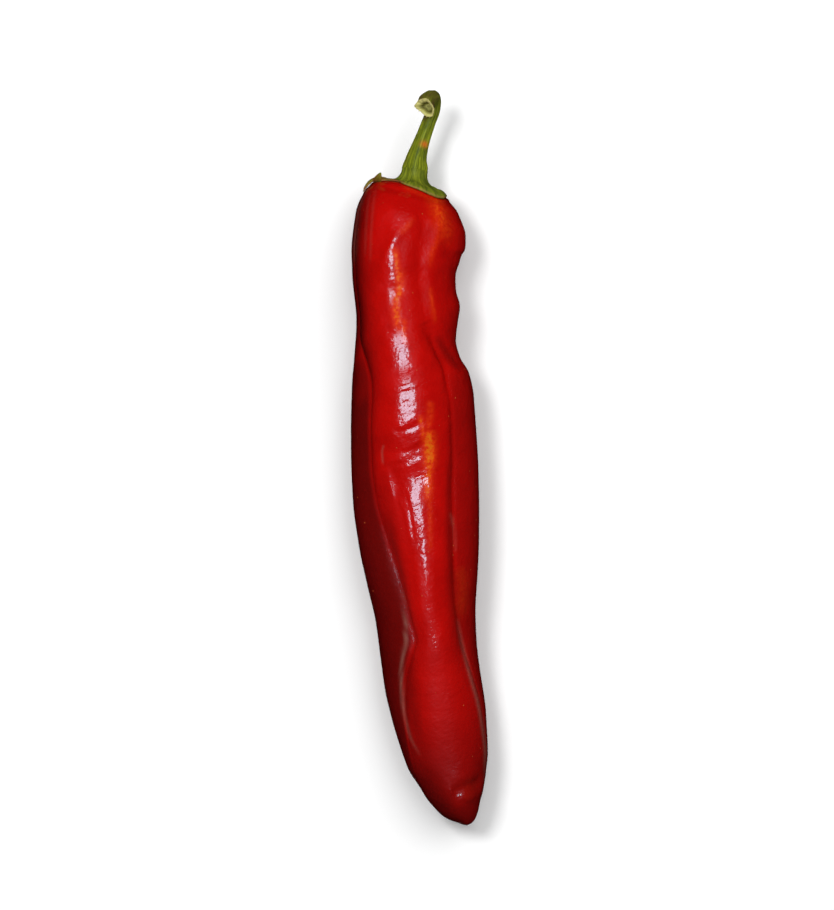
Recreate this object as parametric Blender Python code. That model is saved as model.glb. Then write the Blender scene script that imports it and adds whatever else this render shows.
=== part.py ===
"""A long red chili pepper, as picked: its pod, its calyx and its stalk, lying on the floor.

The pod lies along Y with the stalk towards +Y, and +Z is up. The origin is on the floor,
under the middle of the pepper's bounding box. Tables and named sizes are in millimetres.
"""

import math

import bmesh
import bpy
from mathutils import Vector

MM = 0.001

# The pod is measured from its shoulder, where the calyx sits, down to its tip.
SHOULDER_Y = 74.9
POD_LENGTH = 174.4
CAP_DEPTH = 3.2
# The end face stands square on its left and slopes away on its right, round this angle.
CAP_SQUARENESS = 2.6
CAP_SLOPING_SQUARENESS = 1.3
CAP_SLOPING_ANGLE = 15.0
# How far round its corner the end face goes before the pod's side takes over.
CAP_CORNER = 0.985
DIMPLE_DEPTH = 1.9
DIMPLE_SHARE = 0.8
SHOULDER_RISE = 1.1
SHOULDER_RISE_ANGLE = 122.0
SHOULDER_RISE_SPREAD = 34.0
TIP_DEPTH = 11.4
SECTION_SQUARENESS = 2.1

# Station along the pod, and how far its middle line lies towards +X there.
SPINE = (
    (0, -2.1), (6, -3.0), (12, -4.1), (20, -5.0), (30, -5.0), (45, -3.9), (60, -2.4), (80, -1.1),
    (100, 0.4), (120, 2.3), (135, 3.9), (150, 6.1), (160, 8.3), (168, 10.7), (174.4, 12.7),
)
# Station, and how far the section reaches to the left and to the right of the middle line.
LEFT_REACH = (
    (2.7, 11.3), (5.4, 12.7), (11, 13.8), (26, 13.5), (35, 12.7), (45, 14.0), (54, 15.7), (68, 17.1),
    (86, 17.7), (97, 17.1), (108, 15.7), (119, 14.3), (135, 13.9), (143, 13.1), (151, 12.0),
    (157, 11.1), (162, 9.2), (167, 7.9), (171.5, 6.6), (174.4, 5.5),
)
RIGHT_REACH = (
    (2.7, 10.4), (5.4, 13.0), (11, 16.6), (16, 17.3), (22, 15.9), (26, 14.8), (30, 15.0), (35, 15.9),
    (40, 14.9), (45, 13.9), (49, 14.5), (54, 16.6), (60, 17.3), (76, 17.3), (86, 16.9), (97, 16.1),
    (108, 14.7), (119, 13.1), (127, 12.7), (143, 13.0), (151, 12.3), (157, 11.3), (162, 9.6),
    (167, 7.7), (171.5, 6.4), (174.4, 5.5),
)
# Station, and how far the section reaches above and below the middle line.
TOP_REACH = (
    (2.7, 10.6), (5.4, 12.8), (11, 15.4), (16, 16.4), (22, 16.8), (29, 16.1), (38, 15.9), (49, 16.6),
    (62, 16.7), (67, 16.5), (74, 15.2), (82, 15.1), (97, 15.3), (112, 16.1), (125, 16.3), (135, 15.1),
    (145, 13.4), (155, 11.4), (160, 10.8), (164, 10.4), (168, 9.9), (171.5, 8.3), (174.4, 6.4),
)
BOTTOM_REACH = (
    (2.7, 10.4), (5.4, 11.8), (11, 13.2), (22, 13.8), (60, 13.4), (97, 13.0), (119, 12.0), (140, 10.8),
    (151, 10.0), (158, 9.0), (167.4, 7.4), (174.4, 5.5),
)
# Station, and how high the section's lowest point is held over the floor. Below zero it is pressed flat.
CLEARANCE = (
    (0, 2.6), (8, 0.9), (15, -0.25), (23, -0.25), (34, 0.5), (60, 1.2), (90, 0.9), (110, 0.2),
    (122, -0.25), (131, -0.25), (142, 0.5), (158, 2.1), (168, 4.0), (174.4, 5.6),
)
# A groove is a line down the pod between two of its three lobes: station, the angle of its bed
# round the section (0 is +X and 90 is up), its depth as a share of the reach, and how sharp it is.
LEFT_GROOVE = (
    (0, 160, 0.03, 0.0), (11, 163, 0.07, 0.2), (22, 165, 0.10, 0.4), (40, 166, 0.12, 0.5),
    (49, 153, 0.22, 0.8), (54, 150, 0.26, 0.9), (68, 154, 0.28, 0.9), (76, 154, 0.28, 0.9),
    (86, 149, 0.29, 0.9), (97, 139, 0.30, 0.9), (108, 131, 0.30, 1.0), (119, 126, 0.28, 1.0),
    (124, 122, 0.25, 1.0), (128, 127, 0.20, 0.9), (135, 137, 0.15, 0.8), (143, 143, 0.12, 0.7),
    (151, 145, 0.08, 0.5), (158, 148, 0.04, 0.3), (174.4, 150, 0.0, 0.0),
)
RIGHT_GROOVE = (
    (0, 72, 0.04, 0.0), (5, 71, 0.07, 0.1), (22, 69, 0.09, 0.3), (32, 68, 0.07, 0.2), (38, 64, 0.07, 0.2),
    (43, 53, 0.09, 0.4), (49, 47, 0.12, 0.6), (60, 46, 0.15, 0.8), (76, 48, 0.16, 0.9), (86, 51, 0.16, 0.9),
    (108, 51, 0.17, 0.9), (119, 47, 0.15, 0.9), (127, 40, 0.13, 0.9), (135, 29, 0.10, 0.8),
    (143, 20, 0.08, 0.7), (151, 17, 0.06, 0.5), (158, 19, 0.03, 0.3), (174.4, 22, 0.0, 0.0),
)
BELLY_GROOVE = (
    (0, 268, 0.03, 0.0), (22, 268, 0.08, 0.2), (60, 266, 0.12, 0.4), (108, 268, 0.12, 0.5),
    (143, 272, 0.08, 0.3), (160, 272, 0.03, 0.0), (174.4, 272, 0.0, 0.0),
)
# The top lobe leans over the left groove: station, and how far its bed is turned under it, in degrees.
UNDERCUT = (
    (45, 0), (54, 8), (97, 10), (108, 14), (122, 16), (128, 10), (143, 5), (155, 0),
)
# Points round the section between one groove and the next: over the top lobe, the left one, the right one.
TOP_SIDES = 20
LEFT_SIDES = 18
RIGHT_SIDES = 18
CAP_ROWS = 6
BODY_ROWS = 56
TIP_ROWS = 7

# The calyx is a thin cap that hugs the pod's shoulder, with blunt teeth round its rim.
GAP = 0.4
CALYX_THICKNESS = 1.3
CALYX_RIM_THICKNESS = 1.1
# The boss under the stalk: its height over the cap, the share of the rim's reach that its flat top
# takes, and the share where it has run out into the cap.
CALYX_BOSS_HEIGHT = 3.3
CALYX_BOSS_TOP = 0.34
CALYX_BOSS_FOOT = 0.56
CALYX_SIDES = 56
CALYX_RINGS = (0.17, 0.34, 0.375, 0.42, 0.48, 0.56, 0.7, 0.84, 0.94, 1.0)
CALYX_REACH = 0.92
# Each tooth: its angle round the rim, how far it runs past the rim, its half width in degrees,
# and how far its point lifts off the pod.
CALYX_TEETH = (
    (22, 0.9, 30, 0.1), (84, 0.2, 18, 0.1), (168, 0.5, 15, 1.4), (238, 1.5, 22, 0.3), (306, 1.4, 22, 0.3),
)
# The rim draws back and thins behind the pod's high shoulder: angle, share of the rim lost,
# share of the thickness lost, half width.
CALYX_DRAWN_BACK = (118, 0.30, 0.5, 36)

# The stalk rises from the calyx's boss and hooks over towards the viewer's side, ending in its cut face.
# Each point: sideways and along the calyx's axis from its boss, height over it, and radius.
STALK_PATH = (
    (0.0, 0.0, 0.0, 3.6), (-0.2, 2.1, 0.0, 2.85), (0.15, 4.9, 0.1, 2.3), (0.65, 7.7, 0.2, 2.1),
    (1.3, 10.6, 0.2, 1.95), (1.85, 13.5, 0.2, 1.95), (2.1, 16.4, 0.7, 1.95), (1.8, 18.6, 2.0, 2.0),
    (1.0, 19.4, 3.9, 2.05), (0.0, 18.3, 5.7, 2.3), (-0.6, 16.5, 6.8, 2.7),
)
STALK_RIBS = 5
STALK_RIB_DEPTH = 0.09
STALK_SIDES = 20
STALK_STEPS = 3


def along(table, station, column=1):
    """The table's value at a station, on a smooth curve that never swings past its points."""
    if station <= table[0][0]:
        return table[0][column]
    if station >= table[-1][0]:
        return table[-1][column]
    i = next(k for k in range(len(table) - 1) if station <= table[k + 1][0])

    def slope(k):
        if k == 0 or k == len(table) - 1:
            return 0.0
        before = (table[k][column] - table[k - 1][column]) / (table[k][0] - table[k - 1][0])
        after = (table[k + 1][column] - table[k][column]) / (table[k + 1][0] - table[k][0])
        if before * after <= 0:
            return 0.0
        return 2 * before * after / (before + after)

    span = table[i + 1][0] - table[i][0]
    t = (station - table[i][0]) / span
    a, b = table[i][column], table[i + 1][column]
    return (
        a * (2 * t**3 - 3 * t**2 + 1)
        + b * (3 * t**2 - 2 * t**3)
        + slope(i) * span * (t**3 - 2 * t**2 + t)
        + slope(i + 1) * span * (t**3 - t**2)
    )


def grooves_at(station):
    """The three grooves there as (angle, depth, sharpness), counted round from the right one."""
    found = [[along(g, station, column) for column in (1, 2, 3)] for g in (RIGHT_GROOVE, LEFT_GROOVE, BELLY_GROOVE)]
    right = found[0]
    return (*found, [right[0] + 360, right[1], right[2]])


def groove_bed(angle, grooves):
    """How much of the section's reach is lost at an angle, and how near that angle is to the left groove's bed."""
    turned = (angle - grooves[0][0]) % 360 + grooves[0][0]
    i = next((k for k in range(3) if turned <= grooves[k + 1][0]), 2)
    here, following = grooves[i], grooves[i + 1]
    share = (turned - here[0]) / (following[0] - here[0])
    depth = here[1] + (following[1] - here[1]) * share
    sharp = here[2] + (following[2] - here[2]) * share
    crest = math.sin(math.pi * share)
    round_bed = 1 - crest**2
    sharp_bed = 1 - crest**0.75
    bed = round_bed + (sharp_bed - round_bed) * sharp
    by_left = (i == 0 and share > 0.5) or (i == 1 and share < 0.5)
    return depth * bed, bed if by_left else 0.0


def unit_section(angle, station, grooves):
    """A point of the section at unit reach: sideways and up."""
    lost, bed = groove_bed(angle, grooves)
    turn = math.radians(angle - along(UNDERCUT, station) * bed**2)
    c, s = math.cos(turn), math.sin(turn)
    n = SECTION_SQUARENESS
    reach = (abs(c) ** n + abs(s) ** n) ** (-1 / n) * (1 - lost)
    return reach * c, reach * s


def section_fit(station, grooves):
    """Scales that stretch the unit section to its four measured reaches."""
    points = [unit_section(a, station, grooves) for a in range(0, 360, 3)]
    left = along(LEFT_REACH, station) / -min(p[0] for p in points)
    right = along(RIGHT_REACH, station) / max(p[0] for p in points)
    top = along(TOP_REACH, station) / max(p[1] for p in points)
    bottom = along(BOTTOM_REACH, station) / -min(p[1] for p in points)
    return left, right, top, bottom


def section_point(angle, station, grooves, fit):
    """A point of the true section about the middle line: sideways and up."""
    x, z = unit_section(angle, station, grooves)
    side = (1 + math.cos(math.radians(angle))) / 2
    rise = (1 + math.sin(math.radians(angle))) / 2
    left, right, top, bottom = fit
    return x * (left + (right - left) * side), z * (bottom + (top - bottom) * rise)


def spine_frame(station):
    """The middle line's point over the floor plan, the direction back to the stalk, and the sideways direction."""
    step = 1.0
    x0, x1 = along(SPINE, station - step), along(SPINE, station + step)
    low, high = max(0, station - step), min(POD_LENGTH, station + step)
    back = Vector((x0 - x1, high - low, 0)).normalized()
    return Vector((along(SPINE, station), SHOULDER_Y - station, 0)), back, Vector((back.y, -back.x, 0))


def section_at(station):
    """What pod_point needs to know of one station."""
    grooves = grooves_at(station)
    height = along(CLEARANCE, station) + along(BOTTOM_REACH, station)
    return station, grooves, section_fit(station, grooves), height, spine_frame(station)


def ring_angles(section):
    """Angles round the section, closed up between its grooves so that each groove's bed is a line of points."""
    grooves = section[1]
    found = []
    for here, following, count in zip(grooves, grooves[1:], (TOP_SIDES, LEFT_SIDES, RIGHT_SIDES)):
        found += [here[0] + (following[0] - here[0]) * k / count for k in range(count)]
    return found


def pod_point(section, angle, share=1.0, drop=0.0):
    """A point on the pod, with the section shrunk to a share of its reach and moved back to the stalk by drop."""
    station, grooves, fit, height, (middle, back, side) = section
    x, z = section_point(angle, station, grooves, fit)
    point = middle + back * drop + side * (x * share) + Vector((0, 0, height + z * share))
    point.z = max(point.z, 0.0)
    return point


def cap_rise(share, angle):
    """How far the shoulder's end stands back over its edge, at a share of the section's reach."""
    sloping = ((1 + math.cos(math.radians(angle - CAP_SLOPING_ANGLE))) / 2) ** 2
    n = CAP_SQUARENESS + (CAP_SLOPING_SQUARENESS - CAP_SQUARENESS) * sloping
    edge = (1 - CAP_CORNER**n) ** (1 / n)
    here = (1 - (CAP_CORNER * share) ** n) ** (1 / n)
    dome = CAP_DEPTH * (here - edge) / (1 - edge)
    dimple = DIMPLE_DEPTH * max(0.0, 1 - (share / DIMPLE_SHARE) ** 2) ** 2
    off = (angle - SHOULDER_RISE_ANGLE + 180) % 360 - 180
    shoulder = SHOULDER_RISE * math.exp(-((off / SHOULDER_RISE_SPREAD) ** 2)) * math.sin(math.pi * share**2)
    return dome - dimple + shoulder


def row_station(row):
    """The station of a row of the pod's side."""
    return CAP_DEPTH + (POD_LENGTH - TIP_DEPTH - CAP_DEPTH) * row / BODY_ROWS


def shoulder_point(shoulder, angle, reach):
    """A point on the pod's end. A reach up to 1 is on the end face, and past 1 it runs down the pod's side."""
    section, following = shoulder
    if reach <= 1:
        return pod_point(section, angle, reach, cap_rise(reach, angle))
    run = (reach - 1) * along(RIGHT_REACH, CAP_DEPTH) / (following[0] - section[0])
    return pod_point(section, angle).lerp(pod_point(following, angle), run)


def new_material(name, colour, roughness):
    material = bpy.data.materials.new(name)
    material.use_nodes = True
    shader = material.node_tree.nodes["Principled BSDF"]
    shader.inputs["Base Color"].default_value = (*colour, 1)
    shader.inputs["Roughness"].default_value = roughness
    shader.inputs["Metallic"].default_value = 0
    return material


def loft(name, start, rings, end, material, collection):
    """A closed skin from a first pole over rings of points to a last pole, as one object."""
    bm = bmesh.new()
    first = bm.verts.new(start * MM)
    last = bm.verts.new(end * MM)
    rows = [[bm.verts.new(point * MM) for point in ring] for ring in rings]
    for near, far in ((first, rows[0]), (last, rows[-1])):
        for a, b in zip(far, far[1:] + far[:1]):
            bm.faces.new((near, a, b))
    for one, other in zip(rows, rows[1:]):
        for a, b, c, d in zip(one, one[1:] + one[:1], other[1:] + other[:1], other):
            bm.faces.new((a, b, c, d))
    bmesh.ops.recalc_face_normals(bm, faces=bm.faces)
    mesh = bpy.data.meshes.new(name)
    bm.to_mesh(mesh)
    bm.free()
    mesh.shade_smooth()
    mesh.materials.append(material)
    obj = bpy.data.objects.new(name, mesh)
    collection.objects.link(obj)
    return obj


def angles(count):
    return [360 * k / count for k in range(count)]


def make_pod(material, collection):
    """The fruit: one skin through all its sections, from the dimple under the calyx to the tip."""
    shoulder = (section_at(CAP_DEPTH), section_at(row_station(1)))
    rings = []
    for row in range(1, CAP_ROWS + 1):
        share = math.sin(math.pi / 2 * row / CAP_ROWS)
        rings.append([shoulder_point(shoulder, a, share) for a in ring_angles(shoulder[0])])
    for row in range(1, BODY_ROWS + 1):
        section = section_at(row_station(row))
        rings.append([pod_point(section, a) for a in ring_angles(section)])
    for row in range(1, TIP_ROWS + 1):
        turn = math.pi / 2 * row / (TIP_ROWS + 0.6)
        section = section_at(POD_LENGTH - TIP_DEPTH * (1 - math.sin(turn)))
        rings.append([pod_point(section, a, math.cos(turn)) for a in ring_angles(section)])
    start = shoulder_point(shoulder, 0, 0)
    end = pod_point(section_at(POD_LENGTH), 0, 0)
    return loft("pod", start, rings, end, material, collection)


def drawn_back(angle):
    """How far the calyx gives way to the pod's high shoulder at an angle round it, from 0 to 1."""
    off = (angle - CALYX_DRAWN_BACK[0] + 180) % 360 - 180
    return math.exp(-((off / CALYX_DRAWN_BACK[3]) ** 2))


def calyx_rim(angle):
    """How far the calyx's rim reaches, and how far it lifts off the pod, at an angle round it."""
    reach, lift = CALYX_REACH, 0.0
    for centre, run, spread, rise in CALYX_TEETH:
        off = (angle - centre + 180) % 360 - 180
        point = max(0.0, 1 - abs(off) / spread) ** 1.3
        reach += point * run / along(RIGHT_REACH, CAP_DEPTH)
        lift += point * rise
    return reach - CALYX_DRAWN_BACK[1] * drawn_back(angle), lift


def skin_normal(shoulder, angle, reach):
    """The pod's outward direction at a point of its shoulder."""
    here = shoulder_point(shoulder, angle, reach)
    outward = shoulder_point(shoulder, angle, reach + 0.02) - here
    round_it = shoulder_point(shoulder, angle + 2, reach) - here
    return round_it.cross(outward).normalized()


def calyx_point(shoulder, angle, share, height):
    """A point of the calyx at a share of its rim's reach, and a height over the pod's skin."""
    reach, lift = calyx_rim(angle)
    reach *= share
    back = shoulder[0][4][1]
    normal = skin_normal(shoulder, angle, max(reach, 0.08))
    facing = min(1.0, max(0.0, (share - 0.35) / 0.5))
    direction = (back + (normal - back) * facing).normalized()
    raised = lift * max(0.0, (share - 0.72) / 0.28) ** 2
    return shoulder_point(shoulder, angle, reach) + direction * (height + raised)


def calyx_height(angle, share):
    """How high the calyx's outer face stands over the pod, from its flat boss out to its rim."""
    run_out = (share - CALYX_BOSS_TOP) / (CALYX_BOSS_FOOT - CALYX_BOSS_TOP)
    boss = (1 - min(1.0, max(0.0, run_out))) ** 2
    reach = share * calyx_rim(angle)[0]
    level = CALYX_BOSS_HEIGHT + CALYX_THICKNESS + cap_rise(0, angle) - cap_rise(min(reach, 1.0), angle)
    body = CALYX_THICKNESS + (CALYX_RIM_THICKNESS - CALYX_THICKNESS) * share**2
    body *= 1 - CALYX_DRAWN_BACK[2] * drawn_back(angle)
    return GAP + body + (level - body) * boss


def make_calyx(material, collection):
    """The green cap between pod and stalk: its underside from the middle to the rim, then its face back."""
    shoulder = (section_at(CAP_DEPTH), section_at(row_station(1)))
    round_it = angles(CALYX_SIDES)
    under = [[calyx_point(shoulder, a, s, GAP) for a in round_it] for s in CALYX_RINGS]
    face = [[calyx_point(shoulder, a, s, calyx_height(a, s)) for a in round_it] for s in CALYX_RINGS[::-1]]
    start = calyx_point(shoulder, 0, 0, GAP)
    end = calyx_point(shoulder, 0, 0, calyx_height(0, 0))
    return loft("calyx", start, under + face, end, material, collection), end


def rib_profile(collection):
    """The stalk's cross-section at a radius of one millimetre, a closed line with shallow ribs."""
    curve = bpy.data.curves.new("stalk_section", "CURVE")
    curve.dimensions = "2D"
    spline = curve.splines.new("POLY")
    spline.points.add(STALK_SIDES - 1)
    for point, a in zip(spline.points, angles(STALK_SIDES)):
        turn = math.radians(a)
        radius = MM * (1 - STALK_RIB_DEPTH * (1 - math.cos(STALK_RIBS * turn)) / 2)
        point.co = (radius * math.cos(turn), -radius * math.sin(turn), 0, 1)
    spline.use_cyclic_u = True
    guide = bpy.data.objects.new("stalk_section", curve)
    guide.hide_render = True
    guide.display_type = "WIRE"
    collection.objects.link(guide)
    return guide


def make_stalk(boss, material, collection, guides):
    """The stalk: the ribbed section swept along a hooked line, thick at its foot and at its cut end."""
    _, back, side = spine_frame(CAP_DEPTH)
    curve = bpy.data.curves.new("stalk", "CURVE")
    curve.dimensions = "3D"
    curve.resolution_u = STALK_STEPS
    curve.bevel_mode = "OBJECT"
    curve.bevel_object = rib_profile(guides)
    curve.use_fill_caps = True
    curve.twist_mode = "MINIMUM"
    spline = curve.splines.new("BEZIER")
    spline.bezier_points.add(len(STALK_PATH) - 1)
    foot = boss + back * GAP
    for point, (sideways, out, up, radius) in zip(spline.bezier_points, STALK_PATH):
        point.co = (foot + side * sideways + back * out + Vector((0, 0, up))) * MM
        point.radius = radius
        point.handle_left_type = point.handle_right_type = "AUTO"
    # The foot leaves the boss square to it, so that its flat end lies parallel to the boss.
    first = spline.bezier_points[0]
    first.handle_right_type = "FREE"
    first.handle_right = first.co + back * 0.8 * MM
    curve.materials.append(material)
    stalk = bpy.data.objects.new("stalk", curve)
    collection.objects.link(stalk)
    return stalk


def main():
    for obj in list(bpy.data.objects):
        bpy.data.objects.remove(obj)
    parts = bpy.data.collections.new("chili_pepper")
    guides = bpy.data.collections.new("guides")
    for collection in (parts, guides):
        bpy.context.scene.collection.children.link(collection)
    skin = new_material("pod_skin", (0.45, 0.006, 0.004), 0.25)
    cap = new_material("calyx_green", (0.16, 0.2, 0.03), 0.5)
    stem = new_material("stalk_green", (0.14, 0.22, 0.02), 0.45)
    make_pod(skin, parts)
    _, boss = make_calyx(cap, parts)
    make_stalk(boss, stem, parts, guides)


main()
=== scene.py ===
"""A long red chili pepper on a pale floor: its glossy wrinkled pod, its calyx and its hooked stalk.

The three solids of the frame are replaced by finer pieces that keep their form. The pod lies along Y with
the stalk towards +Y, and its spine, sections and grooves are those of the solid: stations are counted in
millimetres from the pod's shoulder to its tip, and angles round a section in degrees, with 0 towards +X
and 90 up.
"""

import math

import bpy
import numpy as np
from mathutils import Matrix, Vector, noise


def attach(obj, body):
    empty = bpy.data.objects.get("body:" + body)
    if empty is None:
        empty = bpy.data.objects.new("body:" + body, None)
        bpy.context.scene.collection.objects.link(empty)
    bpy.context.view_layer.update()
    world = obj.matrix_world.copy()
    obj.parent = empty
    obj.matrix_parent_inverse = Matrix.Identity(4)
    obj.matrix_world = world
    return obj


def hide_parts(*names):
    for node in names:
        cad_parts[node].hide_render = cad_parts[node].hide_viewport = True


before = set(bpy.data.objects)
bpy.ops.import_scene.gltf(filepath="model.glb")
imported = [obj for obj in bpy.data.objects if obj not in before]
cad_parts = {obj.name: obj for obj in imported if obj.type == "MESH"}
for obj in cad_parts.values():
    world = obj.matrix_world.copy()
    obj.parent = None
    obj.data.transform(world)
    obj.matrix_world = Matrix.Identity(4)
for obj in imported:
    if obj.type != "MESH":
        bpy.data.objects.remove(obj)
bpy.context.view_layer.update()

MM = 0.001

# The pod's shape, as its solid has it, but for a flatter shoulder: its dimple and its rise are lower here.
SHOULDER_Y = 74.9
POD_LENGTH = 174.4
CAP_DEPTH = 3.2
CAP_SQUARENESS = 2.6
CAP_SLOPING_SQUARENESS = 1.3
CAP_SLOPING_ANGLE = 15.0
CAP_CORNER = 0.985
DOME_HEIGHT = 2.6
DIMPLE_DEPTH = 1.3
DIMPLE_SHARE = 0.8
SHOULDER_RISE = 0.15
SHOULDER_RISE_ANGLE = 122.0
SHOULDER_RISE_SPREAD = 34.0
TIP_DEPTH = 11.4
BODY_LENGTH = POD_LENGTH - TIP_DEPTH - CAP_DEPTH
SECTION_SQUARENESS = 2.1
SPINE = (
    (0, -2.1), (6, -3.0), (12, -4.1), (20, -5.0), (30, -5.0), (45, -3.9), (60, -2.4), (80, -1.1),
    (100, 0.4), (120, 2.3), (135, 3.9), (150, 6.1), (160, 8.3), (168, 10.7), (174.4, 12.7),
)
LEFT_REACH = (
    (2.7, 11.3), (5.4, 12.7), (11, 13.8), (26, 13.5), (35, 12.7), (45, 14.0), (54, 15.7), (68, 17.1),
    (86, 17.7), (97, 17.1), (108, 15.7), (119, 14.3), (135, 13.9), (143, 13.1), (151, 12.0),
    (157, 11.1), (162, 9.2), (167, 7.9), (171.5, 6.6), (174.4, 5.5),
)
RIGHT_REACH = (
    (2.7, 10.4), (5.4, 13.0), (11, 16.6), (16, 17.3), (22, 15.9), (26, 14.8), (30, 15.0), (35, 15.9),
    (40, 14.9), (45, 13.9), (49, 14.5), (54, 16.6), (60, 17.3), (76, 17.3), (86, 16.9), (97, 16.1),
    (108, 14.7), (119, 13.1), (127, 12.7), (143, 13.0), (151, 12.3), (157, 11.3), (162, 9.6),
    (167, 7.7), (171.5, 6.4), (174.4, 5.5),
)
TOP_REACH = (
    (2.7, 10.6), (5.4, 12.8), (11, 15.4), (16, 16.4), (22, 16.8), (29, 16.1), (38, 15.9), (49, 16.6),
    (62, 16.7), (67, 16.5), (74, 15.2), (82, 15.1), (97, 15.3), (112, 16.1), (125, 16.3), (135, 15.1),
    (145, 13.4), (155, 11.4), (160, 10.8), (164, 10.4), (168, 9.9), (171.5, 8.3), (174.4, 6.4),
)
BOTTOM_REACH = (
    (2.7, 10.4), (5.4, 11.8), (11, 13.2), (22, 13.8), (60, 13.4), (97, 13.0), (119, 12.0), (140, 10.8),
    (151, 10.0), (158, 9.0), (167.4, 7.4), (174.4, 5.5),
)
CLEARANCE = (
    (0, 2.6), (8, 0.9), (15, -0.25), (23, -0.25), (34, 0.5), (60, 1.2), (90, 0.9), (110, 0.2),
    (122, -0.25), (131, -0.25), (142, 0.5), (158, 2.1), (168, 4.0), (174.4, 5.6),
)
# Grooves between the three lobes: station, angle of the bed, its depth as a share of the reach, sharpness.
LEFT_GROOVE = (
    (0, 160, 0.03, 0.0), (11, 163, 0.07, 0.2), (22, 165, 0.10, 0.4), (40, 166, 0.12, 0.5),
    (49, 153, 0.22, 0.8), (54, 150, 0.26, 0.9), (68, 154, 0.28, 0.9), (76, 154, 0.28, 0.9),
    (86, 149, 0.29, 0.9), (97, 139, 0.30, 0.9), (108, 131, 0.30, 1.0), (119, 126, 0.28, 1.0),
    (124, 122, 0.25, 1.0), (128, 127, 0.20, 0.9), (135, 137, 0.15, 0.8), (143, 143, 0.12, 0.7),
    (151, 145, 0.08, 0.5), (158, 148, 0.04, 0.3), (174.4, 150, 0.0, 0.0),
)
RIGHT_GROOVE = (
    (0, 72, 0.04, 0.0), (5, 71, 0.07, 0.1), (22, 69, 0.09, 0.3), (32, 68, 0.07, 0.2),
    (38, 64, 0.07, 0.2), (43, 53, 0.09, 0.4), (49, 47, 0.12, 0.6), (60, 46, 0.15, 0.8),
    (76, 48, 0.16, 0.9), (86, 51, 0.16, 0.9), (108, 51, 0.17, 0.9), (119, 47, 0.15, 0.9),
    (127, 40, 0.13, 0.9), (135, 29, 0.10, 0.8), (143, 20, 0.08, 0.7), (151, 17, 0.06, 0.5),
    (158, 19, 0.03, 0.3), (174.4, 22, 0.0, 0.0),
)
BELLY_GROOVE = (
    (0, 268, 0.03, 0.0), (22, 268, 0.08, 0.2), (60, 266, 0.12, 0.4), (108, 268, 0.12, 0.5),
    (143, 272, 0.08, 0.3), (160, 272, 0.03, 0.0), (174.4, 272, 0.0, 0.0),
)
UNDERCUT = (
    (45, 0), (54, 8), (97, 10), (108, 14), (122, 16), (128, 10), (143, 5), (155, 0),
)
# The solid's own rows down the body, and the reach of the pod's end in millimetres.
SOLID_BODY_ROWS = 56
END_REACH = 10.75

# The skin's relief stays under the plain section, which a softened corner joins at zero, and it fades out
# over this height above the floor.
RELIEF_SET_BACK = 0.22
RELIEF_SHARPNESS = 9.0
RELIEF_FLOOR_FADE = 1.2
# Swellings all over the pod, and fine wrinkles across it in patches.
SWELLING_HEIGHT = 0.14
SWELLING_LENGTH = 14
WRINKLE_HEIGHT = 0.035
WRINKLE_SPACING = 1.5
WRINKLE_PATCH_LENGTH = 16
WRINKLE_FADE = (112, 126)
# How maroon the skin is, from 0 to 1: painted shade, and on the left lobe partly the skin's own maroon. The
# stations are those over which each shade comes on or goes off. By the tip there is some all round, more
# past its bend, and the rest on its left.
LEFT_LOBE_SHADE = 0.82
LEFT_LOBE_ONSET = (34, 58)
RIGHT_LOBE_SHADE = 0.35
RIGHT_LOBE_ONSET = (48, 60)
LEFT_EDGE_SHADE = 0.7
LEFT_EDGE_END = (62, 45)
LEFT_EDGE_ANGLE = 178
LEFT_EDGE_SPREAD = 28
UNDERSIDE_SHADE = 0.30
TIP_SHADES = (0.10, 0.50, 0.20)
TIP_ONSET = (100, 130)
TIP_BEND_ONSET = (136, 166)
MOST_SHADE = 0.95
# Points round the pod, over its top, left and right lobes, and rows from the shoulder to the tip.
LOBE_SIDES = (112, 48, 52)
CAP_ROWS = 16
BODY_ROWS = 340
TIP_ROWS = 22
# The last ring stops short of the tip's pole by this share of a row. A girth is the way round a piece on
# its UV map.
POLE_GAP = 0.6
POD_GIRTH = 105.0

# The stalk: sideways and out from its foot over the calyx, height, and radius. It keeps within half a
# millimetre of its solid's path, and is a little wider near its foot, which is sunk in the calyx's boss.
# Small ridges and soft lumps stand on its ribs.
STALK_PATH = (
    (0.0, -1.3, 0.0, 3.3), (0.0, -0.4, 0.0, 3.6), (-0.1, 2.1, 0.0, 3.0), (0.1, 4.9, 0.1, 2.5),
    (0.5, 7.7, 0.2, 2.15), (1.0, 10.6, 0.2, 2.0), (1.5, 13.5, 0.2, 1.95), (1.95, 16.4, 0.7, 1.95),
    (1.75, 18.6, 2.0, 2.0), (1.0, 19.4, 3.9, 2.05), (0.0, 18.3, 5.7, 2.3), (-0.6, 16.5, 6.8, 2.7),
)
STALK_FOOT = 5.4
STALK_SIDES = 96
STALK_ROWS = 130
STALK_SMOOTHINGS = 6
STALK_GIRTH = 13.0
RIB_COUNT = 5
RIB_PHASE = 22.0
RIB_DEPTH = 0.10
RIDGE_COUNT = 17
RIDGE_HEIGHT = 0.03
STALK_LUMP_HEIGHT = 0.07
BOSS_RADIUS = 3.65
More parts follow.
